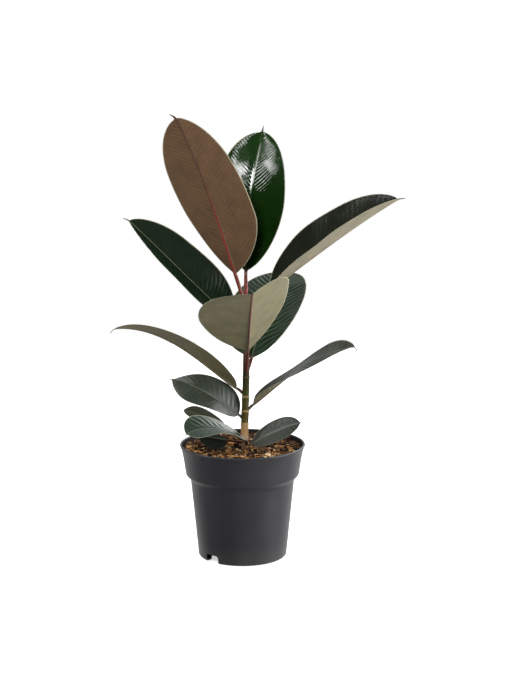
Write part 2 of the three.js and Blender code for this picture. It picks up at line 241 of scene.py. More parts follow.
class Tree:
    """The nodes of one material, or of the surroundings."""

    def __init__(self, owner: bpy.types.Material | bpy.types.World) -> None:
        """Empty the owner's nodes and keep its tree.

        Args:
            owner: The material or the surroundings that the nodes are for.
        """
        owner.use_nodes = True
        self.nodes = owner.node_tree.nodes
        self.links = owner.node_tree.links
        self.nodes.clear()

    def feed(self, socket: bpy.types.NodeSocket, value: object) -> None:
        """Set or link one input socket.

        Args:
            socket: The input.
            value: A Value or an output socket to link, or a plain value to set.
        """
        if isinstance(value, Value):
            value = value.socket
        if isinstance(value, bpy.types.NodeSocket):
            self.links.new(value, socket)
        elif isinstance(value, tuple) and len(value) == 3 and socket.type == "RGBA":
            socket.default_value = (*value, 1.0)
        else:
            socket.default_value = value

    def node(self, kind: str, settings: dict | None = None, inputs: dict | None = None) -> bpy.types.Node:
        """Add a node.

        Args:
            kind: The node's type name.
            settings: Its own settings, set before the sockets; "stops" fills a colour ramp.
            inputs: Values or links by socket name or number.

        Returns:
            The node.
        """
        node = self.nodes.new(kind)
        for name, setting in (settings or {}).items():
            if name == "stops":
                self._fill_ramp(node.color_ramp, setting)
            else:
                setattr(node, name, setting)
        for name, value in (inputs or {}).items():
            self.feed(node.inputs[name], value)
        return node

    @staticmethod
    def _fill_ramp(ramp: bpy.types.ColorRamp, stops: Stops) -> None:
        """Give a colour ramp its stops.

        Args:
            ramp: The ramp, new and with two stops of its own.
            stops: The places and colours it gets.
        """
        while len(ramp.elements) < len(stops):
            ramp.elements.new(1.0)
        for element, (place, colour) in zip(ramp.elements, stops):
            element.position = place
            element.color = (*colour, 1.0)

    def ramp(self, factor: Value, stops: Stops) -> bpy.types.NodeSocket:
        """Return the colour that a ramp gives for a factor."""
        return self.node("ShaderNodeValToRGB", {"stops": stops}, {"Fac": factor}).outputs["Color"]

    def mix(self, factor: Value, first: object, second: object) -> bpy.types.NodeSocket:
        """Mix two colours.

        Args:
            factor: How far the first colour has turned into the second, from 0 to 1.
            first: A colour, plain or linked.
            second: A colour, plain or linked.

        Returns:
            The mixed colour.
        """
        node = self.node("ShaderNodeMix", {"data_type": "RGBA", "clamp_factor": True}, {0: factor})
        self.feed(node.inputs[6], first)
        self.feed(node.inputs[7], second)
        return node.outputs[2]

    def shade(self, colour: object, factor: Value) -> bpy.types.NodeSocket:
        """Return a colour made lighter or darker by a factor."""
        node = self.node("ShaderNodeVectorMath", {"operation": "SCALE"}, {0: colour, "Scale": factor})
        return node.outputs["Vector"]

    def attribute(self, name: str) -> Value:
        """Return a number stored on the mesh."""
        return Value(self, self.node("ShaderNodeAttribute", {"attribute_name": name}).outputs["Fac"])

    def uv(self, name: str) -> tuple[Value, Value]:
        """Read a UV map.

        Args:
            name: The map's name.

        Returns:
            Both of its parts.
        """
        spot = self.node("ShaderNodeUVMap", {"uv_map": name}).outputs[0]
        cut = self.node("ShaderNodeSeparateXYZ", None, {0: spot})
        return Value(self, cut.outputs[0]), Value(self, cut.outputs[1])

    def place(self, scale: Point = (1.0, 1.0, 1.0)) -> bpy.types.NodeSocket:
        """Return the point on the object, stretched by a scale."""
        source = self.node("ShaderNodeTexCoord").outputs["Object"]
        return self.node("ShaderNodeMapping", None, {"Vector": source, "Scale": scale}).outputs[0]

    def height(self) -> Value:
        """Return the height above the floor."""
        return Value(self, self.node("ShaderNodeSeparateXYZ", None, {0: self.place()}).outputs[2])

    def combine(self, x: Value, y: Value, z: Value) -> bpy.types.NodeSocket:
        """Return a vector made of three numbers."""
        return self.node("ShaderNodeCombineXYZ", None, {0: x, 1: y, 2: z}).outputs[0]

    def noise(self, where: bpy.types.NodeSocket, scale: float, detail: float, rough: float = 0.5) -> Value:
        """Add soft noise.

        Args:
            where: The point it is read at.
            scale: How many lumps there are to one unit of that point.
            detail: How many finer octaves lie over the first.
            rough: How strong each finer octave is.

        Returns:
            A number that mostly lies between 0.25 and 0.75.
        """
        inputs = {"Vector": where, "Scale": scale, "Detail": detail, "Roughness": rough}
        return Value(self, self.node("ShaderNodeTexNoise", None, inputs).outputs[0])

    def cells(self, where: bpy.types.NodeSocket, scale: float) -> Value:
        """Return the distance to the nearest of many scattered points."""
        node = self.node("ShaderNodeTexVoronoi", None, {"Vector": where, "Scale": scale})
        return Value(self, node.outputs["Distance"])

    def bump(self, relief: Value, depth: float, strength: float) -> bpy.types.NodeSocket:
        """Return the normal of a surface whose relief has the given depth in metres."""
        inputs = {"Height": relief, "Distance": depth, "Strength": strength}
        return self.node("ShaderNodeBump", None, inputs).outputs[0]

    def surface(self, colour: object, rough: object, normal: object = None, **fixed: object) -> None:
        """Finish the material with one principled surface.

        Args:
            colour: Base colour, plain or linked.
            rough: Roughness, plain or linked.
            normal: The normal from a bump, if there is one.
            fixed: Plain values for other sockets, with _ for the blanks in their names.
        """
        inputs = {"Base Color": colour, "Roughness": rough}
        if normal is not None:
            inputs["Normal"] = normal
        inputs.update({name.replace("_", " "): value for name, value in fixed.items()})
        shader = self.node("ShaderNodeBsdfPrincipled", None, inputs)
        self.node("ShaderNodeOutputMaterial", None, {"Surface": shader.outputs[0]})


def new_material(name: str) -> tuple[bpy.types.Material, Tree]:
    """Return a new material and its empty tree."""
    material = bpy.data.materials.new(name)
    return material, Tree(material)


# ------------------------------------------------------------------------------ meshes


def to_object(bm: bmesh.types.BMesh, name: str, smooth: bool = True) -> bpy.types.Object:
    """Turn a bmesh into an object at the origin.

    Args:
        bm: The mesh, which is used up.
        name: The object's name.
        smooth: Whether the faces are shaded smooth.

    Returns:
        The object.
    """
    mesh = bpy.data.meshes.new(name)
    for face in bm.faces:
        face.smooth = smooth
    bm.to_mesh(mesh)
    bm.free()
    piece = bpy.data.objects.new(name, mesh)
    bpy.context.scene.collection.objects.link(piece)
    return piece


def wrapped_grid(
    around: int,
    along: int,
    place: Callable[[int, int], Vector],
    maps: dict[str, Callable[[int, int], Pair]] | None = None,
) -> bmesh.types.BMesh:
    """Make a closed tube-like body from a grid whose two long sides meet.

    Args:
        around: Number of faces round the body.
        along: Number of faces from its first end to its last.
        place: The point for a column and a row of the grid.
        maps: UV maps by name, each with its value for a column and a row.

    Returns:
        The closed mesh, with its faces pointing outwards.
    """
    bm = bmesh.new()
    layers = {name: bm.loops.layers.uv.new(name) for name in (maps or {})}
    bmesh.ops.create_grid(bm, x_segments=around, y_segments=along, size=1.0)
    spot = {
        vert: (round((vert.co.x + 1) / 2 * around), round((vert.co.y + 1) / 2 * along)) for vert in bm.verts
    }
    for name, layer in layers.items():
        for face in bm.faces:
            for loop in face.loops:
                loop[layer].uv = maps[name](*spot[loop.vert])
    for vert, (column, row) in spot.items():
        vert.co = place(column, row)
    bmesh.ops.remove_doubles(bm, verts=bm.verts, dist=WELD / 10)
    bmesh.ops.holes_fill(bm, edges=[edge for edge in bm.edges if edge.is_boundary], sides=0)
    bmesh.ops.recalc_face_normals(bm, faces=bm.faces)
    return bm


def turned(profile: Sequence[Pair], steps: int) -> bmesh.types.BMesh:
    """Turn a section about the Z axis into a closed body.

    Args:
        profile: The section's points, radius and height in mm, from the axis round to the axis.
        steps: Number of faces round the body.

    Returns:
        The closed mesh, with its faces pointing outwards.
    """
    bm = bmesh.new()
    points = [bm.verts.new((radius * MM, 0, height * MM)) for radius, height in profile]
    edges = [bm.edges.new(pair) for pair in zip(points, points[1:])]
    bmesh.ops.spin(
        bm, geom=points + edges, cent=(0, 0, 0), axis=(0, 0, 1), angle=FULL_TURN,
        steps=steps, use_merge=True, use_duplicate=False,
    )
    bmesh.ops.remove_doubles(bm, verts=bm.verts, dist=WELD)
    bmesh.ops.recalc_face_normals(bm, faces=bm.faces)
    return bm


def settle(
    piece: bpy.types.Object, slot: Slot, material: bpy.types.Material, *nodes: str
) -> bpy.types.Object:
    """Dress a piece and tie it to the frame.

    Args:
        piece: The piece.
        slot: The record's material slot; not used.
        material: Its material.
        nodes: The frame's nodes it stands for.

    Returns:
        The piece.
    """
    piece.data.materials.clear()
    piece.data.materials.append(material)
    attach(piece, "root")
    if nodes:
        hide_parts(*nodes)
    log.info("%s: %d faces", piece.name, len(piece.data.polygons))
    return piece


# ------------------------------------------------------------------------------ leaves


@dataclass(frozen=True)
class LeafMaps:
    """What varies over a leaf's skin. Distances are in mm, the rest goes from 0 to 1."""

    lower: Value  # 1 on the lower side
    across: Value  # distance from the midrib
    along: Value  # distance from the blade's base
    to_edge: Value  # distance from the margin
    before_tip: Value  # 1 up to the drip tip, 0 on it
    body: Value  # 1 on the blade between its midrib and its margin
    crest: Value  # the side veins' relief
    fine_crest: Value  # the relief of the finer veins between them
    vein: Value  # how far the side veins show, broken up along their way
    fine_vein: Value  # the same for the finer veins
    strand: Value  # streaks that follow the side veins
    blotch: Value  # soft patches
    speck: Value  # fine grain


@dataclass(frozen=True)
class LeafFinish:
    """Leathery leaf: dark and glossy above, dull below, with a red midrib and fine side veins.

    The leaf's mesh carries two UV maps. "blade" holds the place round the leaf, which is below
    0.5 on the upper side, and the share of the blade passed. "span" holds the distances across
    and along the blade, in units of 100 mm.
    """

    upper: Colour = (0.010, 0.016, 0.009)
    upper_vein: Colour = (0.030, 0.040, 0.024)
    upper_rib: Colour = (0.16, 0.17, 0.10)
    lower: Colour = (0.17, 0.152, 0.078)
    lower_vein: Colour = (0.23, 0.21, 0.12)
    lower_rib: Colour = (0.20, 0.03, 0.025)
    lower_rib_tip: Colour = (0.20, 0.15, 0.09)
    # pale margin: partly the edge's own pale colour, partly a painted highlight where the rim catches the
    # light
    margin: Colour = (0.5, 0.48, 0.33)
    petiole: Colour = (0.11, 0.028, 0.02)
    vein_gap: float = 7.0  # mm between side veins
    vein_show: float = 0.3  # how far the veins differ in colour
    relief: float = 0.3  # strength of the fine relief
    slant: float = 0.5  # how far the side veins lean towards the tip
    bend: float = 0.004  # and how far they bend that way
    rib_reach: float = 2.0  # mm from the midrib's middle to its side, below
    upper_rough: float = 0.3
    lower_rough: float = 0.65
    ior: float = 1.55

    SPAN_UNIT = 100.0  # mm
    VEIN_SHIFT = 0.45  # the right half's veins start this share of a gap later
    FINE_VEINS = 3.0  # finer veins to each side vein
    WANDER = (0.9, 2.0)  # how far side veins and finer veins wander
    VEIN_BAND = (0.78, 1.0)  # the part of the crest that shows as a vein
    FINE_BAND = (0.6, 1.0)
    CLEAR_OF_EDGE = (0.8, 4.0)  # mm over which the veins fade in from the margin
    CLEAR_OF_RIB = (0.6, 3.0)  # and from the midrib
    GROOVE = (0.3, 1.0)  # mm over which the midrib's upper side fades
    MARGIN_BAND = (0.7, 1.4)  # mm over which the pale margin, partly a painted rim highlight, fades
    TIP_BAND = (0.93, 0.965)  # share of the blade where margin and upper midrib end
    RIB_BAND = (30.0, 150.0)  # mm along which the lower midrib changes colour
    STALK_BAND = (-4.0, 5.0)  # mm along which the petiole turns into the blade
    ROUGH_ABOVE = 0.3  # a glossier upper side has less uneven gloss
    RELIEF_DEPTH = 0.0006

    def survey(self, tree: Tree) -> LeafMaps:
        """Lay out what varies over the leaf.

        Args:
            tree: The material's tree.

        Returns:
            The maps.
        """
        turn, part = tree.uv("blade")
        signed, run = tree.uv("span")
        lower = turn.above(0.5)
        reach = abs(1.0 - abs(turn - 0.5) * 4.0).math("MAXIMUM", 0.02)
        across = abs(signed) * self.SPAN_UNIT
        where = tree.combine(signed, run, lower)
        to_edge = across / reach - across
        drift = tree.noise(where, 3.5, 2.0)
        shift = signed.above(0.0) * (self.VEIN_SHIFT * self.vein_gap)
        along = run * self.SPAN_UNIT
        bent = along - across * self.slant - across * across * self.bend + shift
        phase = bent / self.vein_gap + drift * self.WANDER[0]
        crest = phase.crest()
        fine_crest = (phase * self.FINE_VEINS + drift * self.WANDER[1]).crest()
        strand = tree.noise(tree.combine(signed * 0.4, bent / 60.0, lower), 28.0, 3.0, 0.6)
        body = to_edge.smooth(*self.CLEAR_OF_EDGE) * across.smooth(*self.CLEAR_OF_RIB)
        broken = strand * 1.4 - 0.1
        return LeafMaps(
            lower=lower,
            across=across,
            along=along,
            to_edge=to_edge,
            before_tip=1.0 - part.smooth(*self.TIP_BAND),
            body=body,
            crest=crest,
            fine_crest=fine_crest,
            vein=crest.smooth(*self.VEIN_BAND) * body * broken,
            fine_vein=fine_crest.smooth(*self.FINE_BAND) * body * broken,
            strand=strand,
            blotch=tree.noise(where, 6.0, 3.0, 0.6),
            speck=tree.noise(where, 160.0, 2.0),
        )

    def veins(self, maps: LeafMaps, fine_share: float) -> Value:
        """Return how strongly the vein colour shows, of which the finer veins get a share."""
        return maps.vein * self.vein_show + maps.fine_vein * (fine_share * self.vein_show)

    def upper_colour(self, tree: Tree, maps: LeafMaps) -> bpy.types.NodeSocket:
        """Colour the upper side.

        Args:
            tree: The material's tree.
            maps: The leaf's maps.

        Returns:
            The colour.
        """
        blade = tree.mix(self.veins(maps, 0.4), self.upper, self.upper_vein)
        blade = tree.shade(blade, maps.blotch * 0.9 + 0.55)
        rib = 1.0 - maps.across.smooth(*self.GROOVE)
        return tree.mix(rib * maps.before_tip * 0.75, blade, self.upper_rib)

    def lower_colour(self, tree: Tree, maps: LeafMaps) -> bpy.types.NodeSocket:
        """Colour the lower side.

        Args:
            tree: The material's tree.
            maps: The leaf's maps.

        Returns:
            The colour.
        """
        blade = tree.mix(self.veins(maps, 0.5), self.lower, self.lower_vein)
        blade = tree.shade(blade, maps.blotch * 0.7 + maps.strand * 0.5 + maps.speck * 0.2 + 0.3)
        rib = 1.0 - maps.across.smooth(self.rib_reach * 0.5, self.rib_reach)
        rib_colour = tree.mix(maps.along.smooth(*self.RIB_BAND), self.lower_rib, self.lower_rib_tip)
        return tree.mix(rib * 0.9, blade, rib_colour)

    def build(self, name: str) -> bpy.types.Material:
        """Build the material.

        Args:
            name: Its name.

        Returns:
            The material.
        """
        material, tree = new_material(name)
        maps = self.survey(tree)
        skin = tree.mix(maps.lower, self.upper_colour(tree, maps), self.lower_colour(tree, maps))
        # margin mask: a pale edge that is partly the leaf's own colour and partly a painted rim highlight
        margin = (1.0 - maps.to_edge.smooth(*self.MARGIN_BAND)) * maps.before_tip
        skin = tree.mix(margin * 0.8, skin, self.margin)
        stalk = tree.mix(maps.lower * 0.4, self.petiole, self.lower_rib)
        colour = tree.mix(maps.along.smooth(*self.STALK_BAND), stalk, skin)

        play = min(1.0, self.upper_rough / self.ROUGH_ABOVE)
        uneven = (maps.blotch - 0.5) * (0.2 * play) + (maps.strand - 0.5) * (0.12 * play)
        rough = lerp_value(self.upper_rough, self.lower_rough, maps.lower) + uneven
        relief = maps.crest * 0.5 + maps.fine_crest * 0.25 + maps.strand * 0.6
        normal = tree.bump(relief * maps.body, self.RELIEF_DEPTH, self.relief)
        tree.surface(colour, rough, normal, IOR=self.ior)
        return material


@dataclass(frozen=True)
class Petiole:
    """The stalk of a leaf: its length, its rise and heading at the stem, and its radius."""

    length: float
    rise: float
    heading: float
    radius: float


@dataclass(frozen=True)
class Ring:
    """One cross-section of a leaf, with the frame it is drawn in."""

    at: Vector
    side: Vector  # towards the right-hand edge
    normal: Vector  # out of the upper side
    t: float  # share of the blade passed, below 0 on the petiole
    run: float  # the same as a length
    rib: float  # radius of the petiole or midrib
    flat: float  # 0 on the round petiole, 1 on the blade
    fold: float  # how far each half is folded up, in radians
    halves: Pair  # widths of the left and right half


@dataclass
class Leaf:
    """One leaf: a petiole that runs on as the midrib of a folded blade. Lengths in mm.

    Angles are in degrees. A positive roll turns the right-hand side down, a fold lifts both
    halves, a cup lifts their edges, and a curl turns the drip tip up or down. Of a pair, the
    first number is for the left half and the second for the right.
    """

    name: str
    foot: Point
    heading: float
    petiole: Petiole
    length: float
    width: float
    rise: Course
    roll: Course
    fold: Course
    cup: float
    widest: Pair  # share of the length where each half is widest
    blunt: Pair  # how round the base of each half is
    curl: float
    finish: LeafFinish
    sweep: float = 0.0  # how far the heading turns along the blade
    skew: float = 0.0  # how much wider the right half is
    wave: float = 0.5  # height of the waves along the margin
    ripple: float = 0.14  # height of the side veins
    dent: float = 0.9  # depth of the broad dents

    THICKNESS = 0.9
    GROOVE_DEPTH = 0.3
    BLADE_END = 0.955  # share of the length where the drip tip starts
    DRIP_WIDTH = 0.035  # the drip tip's width as a share of the blade's
    POINTED_BASE = (1.6, 0.75)  # powers that shape a pointed base, a round one and the tip
    ROUND_BASE = (2.1, 0.5)
    TIP_SHAPE = (2.4, 0.62)
    CURL_START = 0.93
    RING_STEP = 1.0
    PETIOLE_STEP = 1.6
    LEAST_PETIOLE_RINGS = 8
    HALF_COLUMNS = 36  # faces from midrib to margin
    CROWDING = 1.3  # above 1, they are narrower near the midrib
    WAVE_LENGTH = 17.0  # mm to each radian of the margin's waves
    WAVE_SHIFT = 2.1  # radians by which the right half's waves are ahead
    DRIFT_SIZE = 26.0  # mm over which the side veins wander
    STRENGTH_SIZE = 22.0  # mm over which they get weaker and stronger
    DENT_SIZE = 38.0

    def outline(self, t: float, hand: int) -> float:
        """Work out the blade's outline.

        Args:
            t: Share of the blade passed.
            hand: 0 for the left half, 1 for the right.

        Returns:
            Half the width there as a share of the greatest.
        """
        widest, blunt = self.widest[hand], self.blunt[hand]
        if t < widest:
            inner, outer = (lerp(a, b, blunt) for a, b in zip(self.POINTED_BASE, self.ROUND_BASE))
            return (1 - ((widest - t) / widest) ** inner) ** outer
        inner, outer = self.TIP_SHAPE
        blade = (1 - min(1.0, (t - widest) / (self.BLADE_END - widest)) ** inner) ** outer
        drip = self.DRIP_WIDTH * min(1.0, (1 - t) / (1 - self.BLADE_END)) ** 0.7
        return max(blade, drip)

    def rings(self) -> list[Ring]:
        """Walk along petiole and midrib.

        Returns:
            The cross-sections from the foot to the tip of the leaf.
        """
        stalk = self.petiole
        at = Vector(self.foot)
        rise, heading = stalk.rise, stalk.heading
        found = [self.ring(at, rise, heading, -1.0, -stalk.length)]
        petiole_steps = max(self.LEAST_PETIOLE_RINGS, round(stalk.length / self.PETIOLE_STEP))
        for k in range(1, petiole_steps + 1):
            share = k / petiole_steps
            new = (lerp(stalk.rise, self.rise[0], share), lerp(stalk.heading, self.heading, share))
            step = stalk.length / petiole_steps
            at = at + direction((rise + new[0]) / 2, (heading + new[1]) / 2) * step
            rise, heading = new
            found.append(self.ring(at, rise, heading, share - 1, (share - 1) * stalk.length))
        blade_steps = round(self.length / self.RING_STEP)
        for k in range(1, blade_steps + 1):
            t = k / blade_steps
            tip = self.curl * smoothstep(t, self.CURL_START, 1.0)
            new = (through(self.rise, t) + tip, self.heading + self.sweep * t)
            step = self.length / blade_steps
            at = at + direction((rise + new[0]) / 2, (heading + new[1]) / 2) * step
            rise, heading = new
            found.append(self.ring(at, rise, heading, t, t * self.length))
        return found

    def ring(self, at: Vector, rise: float, heading: float, t: float, run: float) -> Ring:
        """Work out the cross-section at one station of the leaf.

        Args:
            at: The station's point on the midrib.
            rise: Slope there.
            heading: Heading there.
            t: Share of the blade passed, below 0 on the petiole.
            run: Length of blade passed.

        Returns:
            The cross-section.
        """
        along = direction(rise, heading)
        turn = math.radians(heading)
        right = Vector((math.sin(turn), -math.cos(turn), 0.0))
        up = right.cross(along)
        place = max(0.0, t)
        roll = math.radians(through(self.roll, place)) * smoothstep(t, -0.6, 0.05)
        foot_swell = 1 + 0.25 * (1 - smoothstep(t, -1.0, -0.8))
        rib = self.petiole.radius * lerp(1, 0.2, min(1.0, place * 1.05)) * foot_swell
        if t > self.BLADE_END:
            rib *= 0.6
        halves = tuple(
            max(rib, self.width / 2 * (1 + self.skew * (2 * hand - 1)) * self.outline(place, hand))
            for hand in (0, 1)
        )
        return Ring(
            at=at,
            side=right * math.cos(roll) - up * math.sin(roll),
            normal=right * math.sin(roll) + up * math.cos(roll),
            t=t,
            run=run,
            rib=rib,
            flat=smoothstep(t, -0.15, 0.06),
            fold=math.radians(through(self.fold, place)),
            halves=halves,
        )

    def share(self, column: int) -> Pair:
        """Place a column of the grid on the skin.

        Args:
            column: Its number, counted over the upper side and back under the lower.

        Returns:
            How far across the leaf it is, from -1 to 1, and 1 above or -1 below.
        """
        half = self.HALF_COLUMNS
        face = 1.0 if column <= 2 * half else -1.0
        step = column if column <= 2 * half else 4 * half - column
        part = step / half - 1.0
        return math.copysign(abs(part) ** self.CROWDING, part), face

    def relief(self, ring: Ring, share: float) -> float:
        """Work out how far the blade is out of its smooth shape.

        Args:
            ring: The cross-section.
            share: Place across it, from -1 to 1.

        Returns:
            The sum of side veins, waves and dents.
        """
        reach = abs(share)
        right = share > 0
        width = reach * ring.halves[right]
        seed = sum(self.foot)
        finish = self.finish
        bent = ring.run - finish.slant * width - finish.bend * width * width
        aside = share * width
        drift = noise.noise(Vector((ring.run / self.DRIFT_SIZE, aside / self.DRIFT_SIZE, seed + 5.0)))
        phase = bent / finish.vein_gap + (finish.VEIN_SHIFT if right else 0.0) + 0.5 * drift
        patch = noise.noise(Vector((ring.run / self.STRENGTH_SIZE, share * 2.0, seed + 9.0)))
        strength = 0.3 + 1.3 * smoothstep(patch, -0.4, 0.4)
        fade = smoothstep(1 - reach, 0.0, 0.12)
        veins = self.ripple * strength * math.cos(FULL_TURN * phase) * fade * smoothstep(width, 1.0, 6.0)
        crossing = math.sin(ring.run / self.WAVE_LENGTH + seed + (self.WAVE_SHIFT if right else 0.0))
        waves = self.wave * reach * reach * crossing
        hollow = noise.noise(Vector((ring.run / self.DENT_SIZE, aside / self.DENT_SIZE, seed)))
        dents = self.dent * hollow * min(1.0, reach * 3)
        return (veins + waves + dents) * (ring.flat * smoothstep(1 - ring.t, 0.04, 0.16))

    def point(self, ring: Ring, share: float, face: float) -> Vector:
        """Work out one point of the leaf's skin.

        Args:
            ring: The cross-section.
            share: Place across it, from -1 to 1.
            face: 1 on the upper side, -1 on the lower.

        Returns:
            The point in metres.
        """
        reach = abs(share)
        width = ring.halves[share > 0]
        cup = math.radians(self.cup)
        across = width / cup * (math.sin(ring.fold + cup * reach) - math.sin(ring.fold))
        lift = width / cup * (math.cos(ring.fold) - math.cos(ring.fold + cup * reach))
        distance = reach * width
        if face > 0:
            shape = -self.GROOVE_DEPTH * math.exp(-(distance**2))
        else:
            shape = -ring.rib * math.sqrt(max(0.0, 1 - (distance / (ring.rib * 1.15)) ** 2))
        skin = self.THICKNESS / 2 * (1 - 0.5 * reach) * math.sqrt(max(0.0, 1 - reach**10)) * face
        round_part = math.sqrt(max(0.0, 1 - reach * reach)) * ring.rib * face
        high = lerp(round_part, lift + skin + shape + self.relief(ring, share), ring.flat)
        wide = lerp(ring.rib * reach, across, ring.flat)
        return (ring.at + ring.side * math.copysign(wide, share) + ring.normal * high) * MM

    def build(self) -> bpy.types.Object:
        """Build and dress the leaf.

        Returns:
            The piece.
        """
        rings = self.rings()
        columns = 4 * self.HALF_COLUMNS
        shares = [self.share(column) for column in range(columns + 1)]
        turns = [(share + 1) / 4 if face > 0 else 1 - (share + 1) / 4 for share, face in shares]

        def place(column: int, row: int) -> Vector:
            """Return the skin's point for a column and a row."""
            return self.point(rings[row], *shares[column])

        def blade_map(column: int, row: int) -> Pair:
            """Return the place round the leaf and along it."""
            return turns[column], rings[row].t

        def span_map(column: int, row: int) -> Pair:
            """Return the distances across and along the blade."""
            share, ring = shares[column][0], rings[row]
            return share * ring.halves[share > 0] / LeafFinish.SPAN_UNIT, ring.run / LeafFinish.SPAN_UNIT

        bm = wrapped_grid(columns, len(rings) - 1, place, {"blade": blade_map, "span": span_map})
        piece = to_object(bm, f"{self.name}_skin")
        return settle(piece, Slot.LEAF, self.finish.build(f"{self.name}_finish"), self.name)


def low_leaves() -> list[Leaf]:
    """Give the old leaves near the soil.

    Returns:
        Leaves 1 to 6, from the soil upwards.
    """
    # Older leaves: the greyer, lighter upper colour and pale grey veins are partly their own duller tone
    # and partly a painted grey sheen from the light above.
    old_and_sheen = LeafFinish(
        upper=(0.026, 0.036, 0.024), upper_vein=(0.085, 0.095, 0.075), upper_rib=(0.12, 0.125, 0.10),
        upper_rough=0.42, lower=(0.12, 0.11, 0.06), lower_rib=(0.09, 0.045, 0.026),
        margin=(0.17, 0.17, 0.12), petiole=(0.045, 0.026, 0.016), vein_gap=8.0, vein_show=0.7,
    )
    return [
        Leaf(
            "leaf_01", foot=(3, -2, 156), heading=192, petiole=Petiole(24, 8, 192, 1.5),
            length=42, width=34, widest=(0.5, 0.5), blunt=(1, 0.5), rise=(14, 12, 6),
            roll=steady(-30), fold=steady(-20), cup=4, curl=-10,
            # its darker upper colour and dark margin are painted shade from leaf_03 above it
            finish=LeafFinish(
                upper=(0.008, 0.013, 0.006), upper_rough=0.85, margin=(0.03, 0.03, 0.02), ior=1.25,
            ),
        ),
        Leaf(
            "leaf_02", foot=(3, 2, 150), heading=346, petiole=Petiole(9, 8, 346, 1.6),
            length=80, width=40, widest=(0.52, 0.52), blunt=(0.6, 0.6), skew=0.08, rise=(33, 26, 18),
            roll=steady(40), fold=steady(4), cup=8, curl=0, ripple=0.2,
            finish=replace(old_and_sheen, upper=(0.018, 0.026, 0.015)),
        ),
        Leaf(
            "leaf_03", foot=(5, -3, 154.5), heading=202, petiole=Petiole(15, 40, 300, 1.8),
            length=91, width=54, widest=(0.6, 0.68), blunt=(1, 0), rise=(33, 12, -32),
            roll=(-10, -17, -28), fold=(5, 8, 4), cup=8, curl=-30, wave=1.2, ripple=0.24,
            # its brighter margin is partly a painted rim highlight
            finish=replace(old_and_sheen, upper=(0.014, 0.036, 0.018), margin=(0.42, 0.42, 0.3)),
        ),
        Leaf(
            "leaf_04", foot=(3, 0, 163), heading=163, petiole=Petiole(28, 20, 163, 1.7),
            length=68, width=36, widest=(0.62, 0.62), blunt=(0.5, 0.5), skew=-0.1, rise=(26, 21, 6),
            roll=steady(-12), fold=steady(4), cup=4, curl=-20,
            finish=LeafFinish(
                upper=(0.024, 0.030, 0.012), upper_rough=0.8, upper_rib=(0.08, 0.08, 0.04),
                margin=(0.10, 0.10, 0.05), vein_gap=8.0, ior=1.25,
            ),
        ),
        Leaf(
            "leaf_05", foot=(3, 0, 180), heading=196, petiole=Petiole(18, 85, 196, 1.9),
            length=113, width=60, widest=(0.47, 0.34), blunt=(0.4, 1), skew=-0.08, rise=(36, 33, 12),
            roll=(-50, -43, -24), fold=(18, 11, -58), cup=5, curl=-50, finish=old_and_sheen,
        ),
        Leaf(
            "leaf_06", foot=(3.6, -0.4, 195), heading=2, petiole=Petiole(19, 62, 2, 1.9),
            length=166, width=41, widest=(0.62, 0.45), blunt=(1, 1), skew=-0.1, rise=(38.5, 33, 0),
            roll=(0, 5, 30), fold=(62, -2, 40), cup=3, curl=-90, ripple=0.22, finish=old_and_sheen,
        ),
    ]


